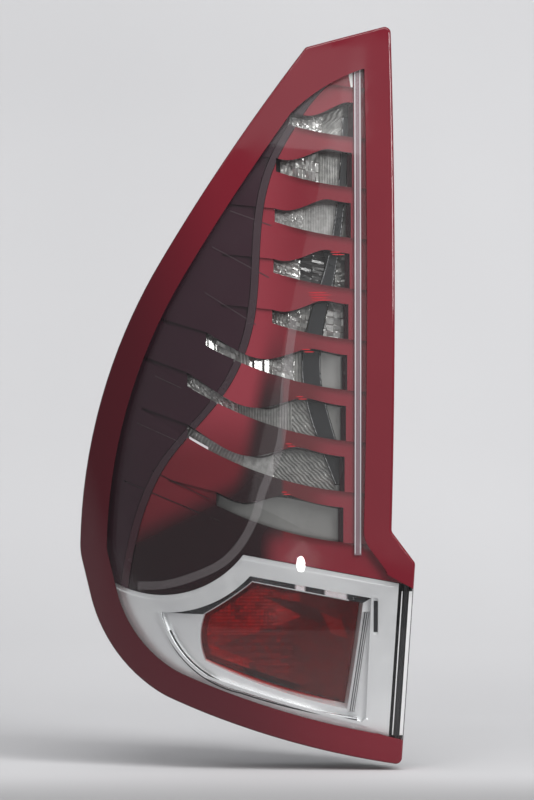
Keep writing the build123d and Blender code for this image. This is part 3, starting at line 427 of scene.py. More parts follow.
# Each row's run and the run to its bend
short_row = (48.0, 39.0)
row_runs = ((40.0, 25.0), short_row, short_row, short_row, short_row,
            (89.0, 47.0), (100.0, 51.0), (99.0, 55.0), (80.0, 62.0))
step_u = 0.4
step_v = 0.8
overlap = 2.0
seat_depth = 17.1
clear_depth = 16.7
relief_limit = 6.4
tail_start = 4.0
tail_limit = 12.5
rib_clearance = 0.25
ray_start = 0.02
rib_mesh = bmesh.new()
rib_mesh.from_mesh(nodes["reflector_rib"].data)
rib_tree = BVHTree.FromBMesh(rib_mesh)
rib_mesh.free()
for row, ((run, bend), fields) in enumerate(zip(row_runs, row_optics)):
    right, foot = row_corner(row)
    columns = int((run + 2.0 * overlap) / step_u)
    lines = int((opening_height + 2.0 * overlap) / step_v)
    sheet = bmesh.new()
    bmesh.ops.create_grid(sheet, x_segments=columns, y_segments=lines, size=0.5)
    for vert in sheet.verts:
        u = (0.5 - vert.co.x) * columns * step_u - overlap
        v = (vert.co.y + 0.5) * lines * step_v - overlap
        relief = next(shape for end, shape, finish in fields if u < end)(u, v)
        depth = clear_depth - min(max(relief, 0.0), relief_limit)
        x = right - u
        z = foot + edge_rise(u) + v
        vert.co = (x * MM, face_y(x, z, depth) * MM, z * MM)
    hidden = []
    for face in sheet.faces:
        middle = face.calc_center_median()
        u = right - middle.x / MM
        v = middle.z / MM - foot - edge_rise(u)
        rays = [rib_tree.ray_cast(middle + Vector((side * MM, ray_start, 0.0)), Vector((0.0, -1.0, 0.0)))[0]
                for side in (-rib_clearance, rib_clearance)]
        if any(rays) or (u > bend + tail_start and v > tail_limit):
            hidden.append(face)
        face.material_index = next(finish for end, shape, finish in fields if u < end)
    bmesh.ops.delete(sheet, geom=hidden, context="FACES")
    # The sheet's edge drops to its seat, and its faces there take the darkest copy: painted shade on the
    # walls
    for vert in sheet.verts:
        if vert.is_boundary:
            vert.co.y = face_y(vert.co.x / MM, vert.co.z / MM, seat_depth) * MM
            for face in vert.link_faces:
                face.material_index = painted_shade_finish
    bmesh.ops.recalc_face_normals(sheet, faces=sheet.faces)
    if sum(face.normal.y for face in sheet.faces) > 0.0:
        bmesh.ops.reverse_faces(sheet, faces=sheet.faces)
    place_piece(f"prism_optic_{row + 1}", sheet, prism_silvers)


# Rib screen: red inner lens, moulded as one shell whose blades part into wave-shaped openings.
# Its red is painted with light and shade: lighter outboard, darker on the upper side of each blade,
# and painted dark in one slanted field clear of the lit bowls and below the last row, over the chamber's
# floor.
def ramp(tree, value, start, end):
    """Factor from 0 to 1 as a value runs from a start to an end."""
    spread = tree.nodes.new("ShaderNodeMapRange")
    spread.interpolation_type = "SMOOTHSTEP"
    spread.inputs["From Min"].default_value = start
    spread.inputs["From Max"].default_value = end
    tree.links.new(value, spread.inputs["Value"])
    return spread.outputs["Result"]


def along(tree, direction):
    """Place in the piece, measured along a direction in metres."""
    place = tree.nodes.new("ShaderNodeTexCoord")
    measure = tree.nodes.new("ShaderNodeVectorMath")
    measure.operation = "DOT_PRODUCT"
    measure.inputs[1].default_value = direction
    tree.links.new(place.outputs["Object"], measure.inputs[0])
    return measure.outputs["Value"]


def figure(tree, operation, first, second=0.0):
    """One step of arithmetic on measures of the place, or on numbers."""
    step = tree.nodes.new("ShaderNodeMath")
    step.operation = operation
    for socket, value in zip(step.inputs, (first, second)):
        if isinstance(value, float):
            socket.default_value = value
        else:
            tree.links.new(value, socket)
    return step.outputs["Value"]


def times(tree, first, second):
    """Product of two factors."""
    return figure(tree, "MULTIPLY", first, second)


def blade_drop(tree, height):
    """How far a place lies under its blade's upper edge, as a share of the pitch of the rows."""
    radius = row_edge_radius * MM
    drift = row_drift / row_pitch
    top = first_row * MM
    run = figure(tree, "ADD", along(tree, (-1.0, 0.0, drift)), row_right * MM - drift * top)
    slope = figure(tree, "ADD", figure(tree, "DIVIDE", run, radius), math.sin(row_edge_tilt))
    chord = figure(tree, "SQRT", figure(tree, "SUBTRACT", 1.0, times(tree, slope, slope)))
    edge = times(tree, figure(tree, "SUBTRACT", math.cos(row_edge_tilt), chord), radius)
    below_top = figure(tree, "SUBTRACT", figure(tree, "ADD", edge, top), height)
    return figure(tree, "FRACT", figure(tree, "DIVIDE", below_top, row_pitch * MM))


def tint_where(tree, shader, factor, colour):
    """Base colour turned to another where a factor is high."""
    blend = tree.nodes.new("ShaderNodeMix")
    blend.data_type = "RGBA"
    tree.links.new(factor, blend.inputs["Factor"])
    tree.links.new(shader.inputs["Base Color"].links[0].from_socket, blend.inputs["A"])
    blend.inputs["B"].default_value = (*colour, 1.0)
    tree.links.new(blend.outputs["Result"], shader.inputs["Base Color"])


screen_red, screen_tree, screen_shader = clouded_plastic(
    "screen_red", (0.22, 0.015, 0.028), (0.25, 0.019, 0.033), roughness=0.14, spread=0.04, ior=1.49)
sideways = along(screen_tree, (1.0, 0.0, 0.0))
upright = along(screen_tree, (0.0, 0.0, 1.0))
slanted = along(screen_tree, (1.0, 0.0, -0.2))
downward = along(screen_tree, (0.5, 0.0, -1.0))
# Painted light: the blades are lighter outboard; painted shade: darker low down on that side
outboard = ramp(screen_tree, sideways, 0.05, 0.01)
lower_outboard_shade = times(screen_tree, outboard, ramp(screen_tree, upright, 0.0, -0.045))
# Painted shade on the upper side of each blade, inboard
upper_side_shade = times(screen_tree, ramp(screen_tree, blade_drop(screen_tree, upright), 0.16, 0.0),
                   ramp(screen_tree, sideways, 0.03, 0.05))
low_rows = times(screen_tree, ramp(screen_tree, upright, 0.06, -0.01),
                 ramp(screen_tree, upright, -0.098, -0.082))
# Painted shade beside the rib, and dark in the slanted field clear of the lit bowls, in the low rows
rib_side_shade = times(screen_tree, ramp(screen_tree, sideways, 0.034, 0.037),
                   ramp(screen_tree, sideways, 0.068, 0.05))
unlit_field = times(screen_tree, ramp(screen_tree, slanted, 0.014, 0.027),
                    ramp(screen_tree, sideways, 0.038, 0.035))
# Painted shade below the last row, over the chamber's floor
chamber_floor_shade = times(screen_tree, ramp(screen_tree, downward, 0.05, 0.07),
                      ramp(screen_tree, sideways, 0.036, 0.02))
for part_of_screen, colour in (
        (outboard, (0.34, 0.045, 0.065)),
        (lower_outboard_shade, (0.165, 0.014, 0.022)),
        (upper_side_shade, (0.1, 0.006, 0.011)),
        (times(screen_tree, rib_side_shade, low_rows), (0.12, 0.004, 0.008)),
        (times(screen_tree, unlit_field, low_rows), (0.03, 0.012, 0.014)),
        (chamber_floor_shade, (0.016, 0.004, 0.006))):
    tint_where(screen_tree, screen_shader, part_of_screen, colour)
coat("rib_screen", screen_red)

# Side mask and trim: a dark moulded mask carries the blades on to the outboard side, and grey
# strips cover the S-shaped joint between mask and screen, painted darker and redder low down as shade.
coat("side_mask", moulded_plastic("mask_dark", (0.032, 0.01, 0.018), (0.037, 0.012, 0.021), roughness=0.2))
trim_grey, trim_tree, trim_shader = clouded_plastic(
    "trim_grey", (0.05, 0.03, 0.038), (0.06, 0.036, 0.044), roughness=0.25, spread=0.05, ior=1.49)
# Painted shade: the trim grows darker and redder towards the bottom
trim_foot_shade = ramp(trim_tree, along(trim_tree, (0.0, 0.0, 1.0)), -0.02, -0.09)
tint_where(trim_tree, trim_shader, trim_foot_shade, (0.05, 0.014, 0.022))
coat("screen_trim", trim_grey)

# Light bar: a clear moulded rod that lies on the inboard edge of the screen.  Two white lines along it
# are painted highlights on the ridges beside its grooves, and its white upper tip is a painted highlight.
line_width = 0.6
line_depth = 3.2
line_foot = -100.0
line_top = 206.0
line_steps = 51
tip_depth = 5.0
tip_edges = (((79.6, 195.0), (78.0, 205.0)), ((80.8, 195.0), (80.8, 205.0)))
tip_steps = 6


def between(first, last, count):
    """Points along a straight line, in a count of steps."""
    return [(first[0] + (last[0] - first[0]) * n / count, first[1] + (last[1] - first[1]) * n / count)
            for n in range(count + 1)]


def on_layer(line, depth):
    """Line of points laid on a layer of the lens, at a depth in from its outer side, in mm."""
    return [(x, face_y(x, z, depth), z) for x, z in line]


def ribbon(name, rails, material):
    """Strip laid through lines of points, given in mm, that faces out of the lamp."""
    strip = bmesh.new()
    bmesh.ops.create_grid(strip, x_segments=len(rails[0]) - 1, y_segments=len(rails) - 1, size=0.5)
    for vert, point in zip(strip.verts, [point for rail in rails for point in rail]):
        vert.co = Vector(point) * MM
    bmesh.ops.recalc_face_normals(strip, faces=strip.faces)
    if sum(face.normal.y for face in strip.faces) > 0.0:
        bmesh.ops.reverse_faces(strip, faces=strip.faces)
    return place_piece(name, strip, [material])


coat("light_bar", moulded_plastic("bar_clear", (0.3, 0.19, 0.22), (0.35, 0.23, 0.26), roughness=0.1))
# Painted highlights: the two white lines along the bar
bar_painted_highlight = moulded_plastic("bar_painted_highlight", (0.7, 0.66, 0.69), (0.77, 0.73, 0.75), roughness=0.2)
for side, left in (("left", 81.8), ("right", 85.0)):
    line_rails = [on_layer(between((x, line_foot), (x, line_top), line_steps), line_depth)
                  for x in (left, left + line_width)]
    ribbon(f"bar_highlight_{side}", line_rails, bar_painted_highlight)
# Painted highlight: the white tip at the bar's upper end
tip_painted_highlight = moulded_plastic("tip_painted_highlight", (0.86, 0.85, 0.84), (0.93, 0.92, 0.91), roughness=0.2)
tip_rails = [on_layer(between(low, high, tip_steps), tip_depth) for low, high in tip_edges]
ribbon("bar_tip_highlight", tip_rails, tip_painted_highlight)

# Walls of the openings: the blades are moulded with draft, so that each opening shows a slope along its
# upper edge and at its right end, its red darkened as painted shade.
screen_front = 5.2
screen_back = 9.2
upper_slope = 1.3
end_slope = 3.2
front_gap = 0.1
back_gap = 0.2
tail_height = 8.5
neck_height = 10.0
bend_run = 22.0
bend_steps = 12
# Painted shade: the slopes are the screen's red darkened nearly to black
wall_painted_shade = moulded_plastic("wall_painted_shade", (0.03, 0.011, 0.016), (0.04, 0.015, 0.02), roughness=0.25)
for row, (run, bend) in enumerate(row_runs):
    right, foot = row_corner(row)
    knots = [(run, tail_height), (bend, neck_height),
             (bend - bend_run, opening_height), (0.0, opening_height)]
    grades = [0.0, (opening_height - tail_height) / (run - bend + bend_run),
              (opening_height - neck_height) / bend, 0.0]
    rim = []
    for (u0, h0), (u1, h1), g0, g1 in zip(knots, knots[1:], grades, grades[1:]):
        reach = (u0 - u1) / 3.0
        points = interpolate_bezier((u0, h0), (u0 - reach, h0 + g0 * reach),
                                    (u1 + reach, h1 - g1 * reach), (u1, h1), bend_steps + 1)
        rim += [(right - u, foot + edge_rise(u) + h) for u, h in points[:-1]]
    slope_foot = [(x, z - upper_slope) for x, z in rim]
    rim += [(right, foot + opening_height), (right, foot)]
    slope_foot += [(right - end_slope, foot + opening_height - upper_slope), (right - end_slope, foot)]
    rails = [on_layer(rim, screen_front + front_gap), on_layer(slope_foot, screen_back - back_gap)]
    ribbon(f"opening_wall_{row + 1}", rails, wall_painted_shade)

# Lip of the eighth opening: at the outboard tip the floor of the opening turns up into a short lip.
# It is part of the screen's moulding and metallised, and its white end is a painted highlight.
lip_right, lip_foot = row_corner(7)
lip_start = 86.0
lip_step = 1.2
lip_steps = 10
lip_edges = ((0.1, screen_front + front_gap), (1.7, screen_back - 2.0 * back_gap))
lip_runs = [lip_start + lip_step * n for n in range(lip_steps + 1)]
lip_rails = [on_layer([(lip_right - u, lip_foot + edge_rise(u) + rise) for u in lip_runs], depth)
             for rise, depth in lip_edges]
# Painted highlight: the white of the lip
lip_painted_highlight = moulded_plastic("lip_painted_highlight", (0.86, 0.82, 0.85), (0.93, 0.9, 0.92), roughness=0.2)
ribbon("opening_lip", lip_rails, lip_painted_highlight)

# Seams of the screen: fine moulded ridges that carry the blades' edges on across the dark field.
# The two lowest lie on the red of the screen and are dark.
seam_light = moulded_plastic("seam_light", (0.055, 0.034, 0.04), (0.065, 0.04, 0.048), roughness=0.3)
seam_dark = moulded_plastic("seam_dark", (0.014, 0.006, 0.008), (0.02, 0.008, 0.01), roughness=0.3)
seam_half = 0.3
seam_depth = 5.0
seam_steps = 12
light_seams = (((29.1, 106.8), (3.2, 116.3)), ((27.8, 73.9), (-8.2, 93.5)), ((19.6, 44.2), (-12.6, 64.5)),
               ((-27.8, 4.4), (-44.2, 12.0)), ((-25.9, -31.0), (-55.6, -17.7)))
dark_seams = (((-10.1, -65.7), (-46.1, -48.0)), ((-3.5, -79.6), (-64.5, -54.4)))
for number, (near, far) in enumerate(light_seams + dark_seams, 1):
    places = between(near, far, seam_steps)
    seam_rails = [on_layer([(x, z + side) for x, z in places], seam_depth)
                  for side in (-seam_half, seam_half)]
    seam_finish = seam_light if number <= len(light_seams) else seam_dark
    ribbon(f"blade_seam_{number}", seam_rails, seam_finish)

# Glints: painted highlights over the rib, two bright red streaks to a place, where the light of the
# bowls comes out through the blades' edges.
# Painted highlights: the bright red of the glints
painted_glint_red = moulded_plastic("painted_glint_red", (0.55, 0.008, 0.02), (0.65, 0.012, 0.028), roughness=0.12)
glint_half = 0.36
glint_depth = 5.0
glint_steps = 10
# Each place as x, z and reach, and each of its two streaks as shift, rise and share of the reach
glints = ((70.5, 89.2, 3.6), (59.0, 63.6, 6.5), (60.0, 60.4, 6.0), (52.0, 27.8, 3.0), (48.0, -1.9, 2.6),
          (41.0, -31.6, 2.3), (38.3, -62.0, 2.0))
streaks = ((-0.8, 0.8, 0.9), (0.9, -0.7, 1.1))
glint_turns = [math.pi * n / glint_steps for n in range(glint_steps + 1)]
glint_places = [(x + shift, z + rise, share * reach)
                for x, z, reach in glints for shift, rise, share in streaks]
for number, (x, z, reach) in enumerate(glint_places, 1):
    glint_rails = [on_layer([(x - reach * math.cos(turn), z + side * math.sin(turn)) for turn in glint_turns],
                            glint_depth)
                   for side in (-glint_half, glint_half)]
    ribbon(f"blade_glint_{number}", glint_rails, painted_glint_red)

# Guide band: a clear moulded strip held between the window and the screen.  It runs down across
# the lower rows and turns outboard along the bezel's upper edge.
band_clear, band_tree, band_shader = finish_with("band_clear", {"Alpha": 0.12, "Roughness": 0.25})
shade_between(band_tree, band_shader, cloudiness(band_tree, scale=14.0, detail=3.0),
              (0.74, 0.68, 0.7), (0.82, 0.76, 0.78))
band_half = 2.6
band_depth = 3.9
band_steps = 8
band_knots = [Vector(knot) for knot in (
    (43.6, 49.0), (38.0, 6.0), (35.0, -30.0), (24.0, -60.0), (18.3, -78.4),
    (8.8, -95.4), (-6.0, -108.7), (-34.8, -119.5), (-60.0, -121.0))]
band_path = []
for before, here, there, after in zip(band_knots[:1] + band_knots, band_knots, band_knots[1:],
                                      band_knots[2:] + band_knots[-1:]):
    band_path += interpolate_bezier(here, here + (there - before) / 6.0, there - (after - here) / 6.0, there,
                                    band_steps + 1)[:-1]
band_rails = []
for side in (-band_half, band_half):
    band_edge = []
    for here, there in zip(band_path, band_path[1:]):
        outward = Vector((here.y - there.y, there.x - here.x)).normalized()
        band_edge.append(here + side * outward)
    band_rails.append(on_layer(band_edge, band_depth))
ribbon("guide_band", band_rails, band_clear)

# Silver bezel: moulded skin of the lower chamber with a pocket, a slot and a funnel down to the fog
# lens, painted in a satin silver with fine metal flakes.
coat("silver_bezel", plated_metal("silver_satin", (0.84, 0.85, 0.86), (0.92, 0.93, 0.93), roughness=0.34,
                                  relief=0.00002, metal=0.65))

# Flute bar: three chromed steps, moulded as one bar on the pocket's floor along the inboard edge of
# the fog lens, with a dark line of painted shade in the crease at the foot of each.
flute_silver = plated_metal("flute_silver", (0.84, 0.84, 0.85), (0.92, 0.92, 0.92), roughness=0.14, metal=0.7)
flute_tree = flute_silver.node_tree
flute_shader = flute_tree.nodes["Principled BSDF"]
flute_low, flute_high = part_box("flute_bar")
flute_width = 0.004
foot_shares = (0.33, 0.66, 0.96)
foot_half = 0.0003
foot_soft = 0.0001
flute_lean = (flute_high[0] - flute_width - flute_low[0]) / (flute_high[2] - flute_low[2])
flute_across = along(flute_tree, (1.0, 0.0, -flute_lean))
# Painted shade: a dark line in the crease at the foot of each step
for share in foot_shares:
    middle = flute_low[0] - flute_lean * flute_low[2] + flute_width * share
    left_side = ramp(flute_tree, flute_across, middle - foot_half - foot_soft, middle - foot_half)
    right_side = ramp(flute_tree, flute_across, middle + foot_half + foot_soft, middle + foot_half)
    tint_where(flute_tree, flute_shader, times(flute_tree, left_side, right_side), (0.12, 0.122, 0.125))
coat("flute_bar", flute_silver)

# Floor of the bezel's slot: a black moulded strip, pressed into the narrow upright slot in the
# bezel's inboard side.
slot_dark_and_painted_shade = moulded_plastic("slot_dark_and_painted_shade", (0.02, 0.021, 0.023), (0.03, 0.031, 0.034), roughness=0.3)
slot_sides = (93.9, 96.5)
slot_foot = -150.0
slot_top = -130.0
slot_depth = 6.0
slot_steps = 8
slot_rails = [on_layer(between((x, slot_foot), (x, slot_top), slot_steps), slot_depth) for x in slot_sides]
ribbon("bezel_slot_floor", slot_rails, slot_dark_and_painted_shade)

# Fog bevel: a chromed slope of the bezel, from the pocket's upper edge down to the funnel of the fog lens.
# Its chrome is painted dark as a reflection of the chamber, with two stretches painted bright as highlights.
fog_x = 35.0
fog_z = -160.0
fog_lean = math.asin(fog_z / rise_radius)
pocket_depth = 4.7
funnel_depth = 7.5
lit_stretches = ((0.0445, 0.0505), (0.063, 0.077))
lit_soft = 0.001


def arc(first, middle, last, count):
    """Points of the arc through three points, in a count of steps."""
    (ax, ay), (bx, by), (cx, cy) = first, middle, last
    twice = 2.0 * (ax * (by - cy) + bx * (cy - ay) + cx * (ay - by))
    aa = ax * ax + ay * ay
    bb = bx * bx + by * by
    cc = cx * cx + cy * cy
    ox = (aa * (by - cy) + bb * (cy - ay) + cc * (ay - by)) / twice
    oy = (aa * (cx - bx) + bb * (ax - cx) + cc * (bx - ax)) / twice
    start = math.atan2(ay - oy, ax - ox)
    sweep = math.remainder(math.atan2(cy - oy, cx - ox) - start, 2.0 * math.pi)
    radius = math.hypot(ax - ox, ay - oy)
    turns = [start + sweep * n / count for n in range(count + 1)]
    return [(ox + radius * math.cos(turn), oy + radius * math.sin(turn)) for turn in turns]


def on_lamp(line):
    """Line in the fog lamp's own plane, as places seen square-on to the lamp, in mm."""
    return [(fog_x + across, fog_z + up * math.cos(fog_lean)) for across, up in line]


pocket_edge = arc((-72.0, 22.3), (-47.6, 27.0), (-19.2, 46.4), 12)[:-1]
pocket_edge += between((-19.2, 46.4), (57.3, 32.2), 8)
funnel_edge = arc((-49.0, 21.5), (-31.9, 32.2), (-17.8, 42.8), 12)[:-1]
funnel_edge += between((-17.8, 42.8), (52.0, 29.0), 8)
bevel_rails = [on_layer(on_lamp(pocket_edge), pocket_depth), on_layer(on_lamp(funnel_edge), funnel_depth)]
# Painted reflection: the chrome darkened to mirror the dark chamber
bevel_plate, bevel_tree, bevel_shader = finish_with("bevel_plate", {"Metallic": 1.0, "Roughness": 0.14})
shade_between(bevel_tree, bevel_shader, cloudiness(bevel_tree, scale=60.0, detail=3.0),
              (0.05, 0.052, 0.055), (0.09, 0.092, 0.096))
bevel_along = along(bevel_tree, (1.0, 0.0, 0.0))
# Painted highlights: two stretches along the bevel turned white
for start, end in lit_stretches:
    lit = times(bevel_tree, ramp(bevel_tree, bevel_along, start - lit_soft, start + lit_soft),
                ramp(bevel_tree, bevel_along, end + lit_soft, end - lit_soft))
    tint_where(bevel_tree, bevel_shader, lit, (0.92, 0.92, 0.93))
ribbon("fog_bevel", bevel_rails, bevel_plate)

# Beads of the bezel: chromed half-round beads moulded along the pocket's lower edge and the funnel's
# upper edge, with painted shade in a groove outside the first and painted shade of the pocket's wall inside
# it.
bead_profile = ((-1.0, 0.0), (-0.7, 0.7), (0.0, 1.0), (0.7, 0.7), (1.0, 0.0))
bead_rise = 0.8


def bead(name, line, depth, reach, shift, material):
    """Half-round bead beside a line of the bezel, in mm."""
    rails = []
    for side, rise in bead_profile:
        rail = []
        for here, there in zip(line, line[1:]):
            run = there[0] - here[0]
            climb = there[1] - here[1]
            share = (side * reach + shift) / math.hypot(run, climb)
            rail.append((here[0] - climb * share, here[1] + run * share))
        rails.append(on_layer(rail, depth - rise * reach * bead_rise))
    ribbon(name, rails, material)


pocket_line = arc((-40.4, -138.0), (-26.5, -165.8), (10.6, -187.8), 24)[:-1]
pocket_line += arc((10.6, -187.8), (47.7, -198.3), (87.0, -205.2), 24)
bead("pocket_bead", pocket_line, depth=4.8, reach=0.75, shift=0.0, material=chrome)
# Painted shade: two dark strips beside the pocket's bead, for its groove and the pocket's wall
bead("pocket_groove_shade", pocket_line[2:], depth=4.5, reach=0.45, shift=-1.3, material=slot_dark_and_painted_shade)
bead("pocket_shade", pocket_line[4:22], depth=4.7, reach=0.6, shift=1.7, material=slot_dark_and_painted_shade)
bead("funnel_bead", on_lamp(funnel_edge), depth=funnel_depth, reach=0.5, shift=0.0, material=chrome)

# Fog optic: a moulded and metallised sheet behind the fog lens, with fine pillows on its outboard
# side, a row of beads low down and large plain facets on its inboard side.  A tone painted per point
# darkens its silver: a random share per pillow, dark joints, and painted light and shade over facets and
# fields.
pillow_width = 2.6
pillow_height = 2.2
pillow_rise = 0.24
pillows_end = -4.0
pillows_foot = 6.0
cushion_width = 3.4
cushion_height = 5.0
cushion_rises = (0.2, 0.25)
cushions_end = 8.0
plateau_middle = (22.0, -2.0)
plateau_half = (9.0, 13.0)
plateau_fall = 0.25
plateau_lean = 0.02
bead_low = 3.0
bead_high = 9.0
bead_end = -20.0
bead_pitch = 2.4
bead_bulge = 0.7
bead_tone = 0.45
lit_tone = 0.5
painted_dark_tone = 0.95
# Outlines of a facet painted as shade and of one painted as lit
painted_dark_facet = [(-10.8, 30.1), (10.7, 26.7), (32.1, 18.4), (36.0, 8.0), (14.0, 16.8)]
lit_facet = [(25.5, 20.0), (38.7, 14.2), (42.9, 2.4), (32.1, 5.8)]
fog_edge = between((-17.0, 40.6), (50.3, 27.1), 8)[:-1]
fog_edge += between((50.3, 27.1), (40.8, -39.1), 8)[:-1]
fog_edge += arc((40.8, -39.1), (-6.6, -25.6), (-47.0, -10.2), 12)[:-1]
fog_edge += arc((-47.0, -10.2), (-49.9, 2.0), (-47.0, 20.0), 6)[:-1]
fog_edge += arc((-47.0, 20.0), (-30.6, 30.3), (-17.0, 40.6), 6)[:-1]
fog_width = 104.0
fog_height = 84.0
fog_cell = 0.55
fog_margin = 3.2
fog_seat = 16.9
fog_relief_limit = 1.0


def fog_place(across, up, depth):
    """Point in the fog lamp's own plane, at a depth in from the lens, in mm."""
    y = face_y(fog_x, fog_z, 0.0) + math.sin(fog_lean) * up + math.cos(fog_lean) * depth
    return fog_x + across, y, fog_z + math.cos(fog_lean) * up - math.sin(fog_lean) * depth


def inside(outline, across, up):
    """Whether a point lies inside an outline."""
    crossings = 0
    for (ax, ay), (bx, by) in zip(outline, outline[1:] + outline[:1]):
        if (ay > up) != (by > up) and across < ax + (up - ay) * (bx - ax) / (by - ay):
            crossings += 1
    return crossings % 2 == 1


def clear_of_edge(across, up, margin):
    """Whether a point lies clear of the fog lens's outline by a margin."""
    for (ax, ay), (bx, by) in zip(fog_edge, fog_edge[1:] + fog_edge[:1]):
        share = ((across - ax) * (bx - ax) + (up - ay) * (by - ay)) / ((bx - ax) ** 2 + (by - ay) ** 2)
        share = min(max(share, 0.0), 1.0)
        if math.hypot(across - ax - share * (bx - ax), up - ay - share * (by - ay)) < margin:
            return False
    return True


def scallop(place, pitch):
    """Row of round bulges, as a factor from 0 to 1."""
    return abs(math.sin(math.pi * place / pitch))


def over_foot(across, up):
    """Height over the lower outboard edge of the fog lens, which falls from its corner."""
    corner_across = -47.0
    corner_up = -10.2
    fall = 0.372
    return up - corner_up + fall * (across - corner_across)


def fog_relief(across, up):
    """Height of the fog optic over its seat, in mm."""
    foot = over_foot(across, up)
    if across < bead_end and bead_low < foot < bead_high:
        bulge = math.sin(math.pi * (foot - bead_low) / (bead_high - bead_low))
        return bead_bulge * scallop(across, bead_pitch) * bulge
    if across < pillows_end and up > pillows_foot:
        return pillow_rise * scallop(across, pillow_width) + pillow_rise * scallop(up, pillow_height)
    if across < cushions_end:
        rise = cushion_rises[0] * scallop(across, cushion_width)
        return rise + cushion_rises[1] * scallop(up, cushion_height)
    past_side = abs(across - plateau_middle[0]) - plateau_half[0]
    past_top = abs(up - plateau_middle[1]) - plateau_half[1]
    fall = plateau_fall * max(past_side, past_top, 0.0)
    return fog_relief_limit - fall - plateau_lean * (across - cushions_end)


def fog_tone(across, up):
    """How dark the fog optic is painted: random per pillow, dark joints, painted light and shade on facets
    and fields.
    """
    column = math.floor(across / pillow_width)
    line = math.floor(up / pillow_height)
    shade = random.Random(column * 211 + line * 37 + 5).random()
    block = random.Random((column // 3) * 83 + (line // 3) * 29 + 2).uniform(0.4, 1.0)
    joint_across = abs(math.cos(math.pi * across / pillow_width))
    joint_up = abs(math.cos(math.pi * up / pillow_height))
    joint = max(joint_across, joint_up) ** 8
    if across < bead_end and bead_low < over_foot(across, up) < bead_high:
        return bead_tone * shade
    if inside(lit_facet, across, up):
        return lit_tone
    if inside(painted_dark_facet, across, up):
        return painted_dark_tone
    if up > 12.0 + 0.35 * across and across < 12.0:
        return min(0.6 * shade * block + 0.35 * joint, 0.9)
    if across > 5.0:
        return 0.74 + 0.2 * shade * block
    return min(0.4 + 0.6 * shade * block + 0.25 * joint, painted_dark_tone)


pillows = bmesh.new()
bmesh.ops.create_grid(pillows, x_segments=int(fog_width / fog_cell), y_segments=int(fog_height / fog_cell),
                      size=0.5)
bmesh.ops.scale(pillows, vec=(fog_width, fog_height, 1.0), verts=pillows.verts)
outside = [vert for vert in pillows.verts
           if not inside(fog_edge, vert.co.x, vert.co.y)
           or not clear_of_edge(vert.co.x, vert.co.y, fog_margin)]
bmesh.ops.delete(pillows, geom=outside, context="VERTS")
tones = [fog_tone(vert.co.x, vert.co.y) for vert in pillows.verts]
for vert in pillows.verts:
    across = vert.co.x
    up = vert.co.y
    relief = 0.0 if vert.is_boundary else min(max(fog_relief(across, up), 0.0), fog_relief_limit)
    x, y, z = fog_place(across, up, fog_seat - relief)
    vert.co = (x * MM, y * MM, z * MM)
bmesh.ops.recalc_face_normals(pillows, faces=pillows.faces)
if sum(face.normal.y for face in pillows.faces) > 0.0:
    bmesh.ops.reverse_faces(pillows, faces=pillows.faces)
fog_silver, fog_tree, fog_shader = finish_with("fog_silver", {"Metallic": 0.8, "Roughness": 0.2})
tone_node = fog_tree.nodes.new("ShaderNodeAttribute")
tone_node.attribute_name = "tone"
shade_between(fog_tree, fog_shader, cloudiness(fog_tree, scale=40.0, detail=2.0),
              (0.8, 0.8, 0.8), (0.9, 0.9, 0.9))
# Painted light and shade: the tone darkens the silver
tint_where(fog_tree, fog_shader, tone_node.outputs["Fac"], (0.05, 0.05, 0.05))
fog_sheet = place_piece("fog_optic", pillows, [fog_silver])
fog_sheet.data.attributes.new("tone", "FLOAT", "POINT").data.foreach_set("value", tones)

# Fog lens: deep red inner lens, moulded with a crown and a flange, and clamped behind the funnel
# of the bezel.
coat("fog_lens", clear_finish("fog_red", tint=(0.88, 0.03, 0.06), ior=1.5, roughness=0.2))

# Outer lens: moulded in two shots, a red rim with the skirt and a clear window, and welded
# to the housing.
lens_red, rim_tree, rim_shader = clouded_plastic(
    "lens_red", (0.155, 0.008, 0.018), (0.17, 0.01, 0.02), roughness=0.09, spread=0.03, ior=1.49)
# Painted shade: the rim's red is darker on its outboard flank and low down
rim_flank_shade = ramp(rim_tree, along(rim_tree, (1.0, 0.0, 0.25)), 0.05, -0.06)
tint_where(rim_tree, rim_shader, rim_flank_shade, (0.075, 0.006, 0.012))
coat("lens_red_rim", lens_red)
coat("lens_clear_window", clear_finish("lens_clear", tint=(0.97, 0.97, 0.97), ior=1.45, roughness=0.015))

# Lit edge: where the clear shot wraps round the foot, its skirt is seen end on.  A white strip at the
# frosted face in the weld seam and a bright web inside it are painted highlights of the light it catches.
# Painted highlights: the white of the lit edge and web
edge_painted_highlight = moulded_plastic("edge_painted_highlight", (0.8, 0.8, 0.8), (0.88, 0.88, 0.88),
                             roughness=0.4, grain_scale=400.0)
edge_top = -124.0
edge_foot = -216.0
edge_steps = 23
foot_right = 120.0
foot_step_bottom = -106.0
foot_lean = 8.0 / 129.0


def inboard_edge(z):
    """The lamp's inboard edge at a height below the step, in mm."""
    return foot_right - foot_lean * (foot_step_bottom - z)


for name, near, far, depth in (("lit_edge", 0.5, 2.6, 4.0), ("lit_web", 6.6, 7.3, 6.0)):
    edge_rails = [on_layer(between((inboard_edge(edge_top) - inset, edge_top),
                                   (inboard_edge(edge_foot) - inset, edge_foot), edge_steps), depth)
                  for inset in (near, far)]
    ribbon(name, edge_rails, edge_painted_highlight)

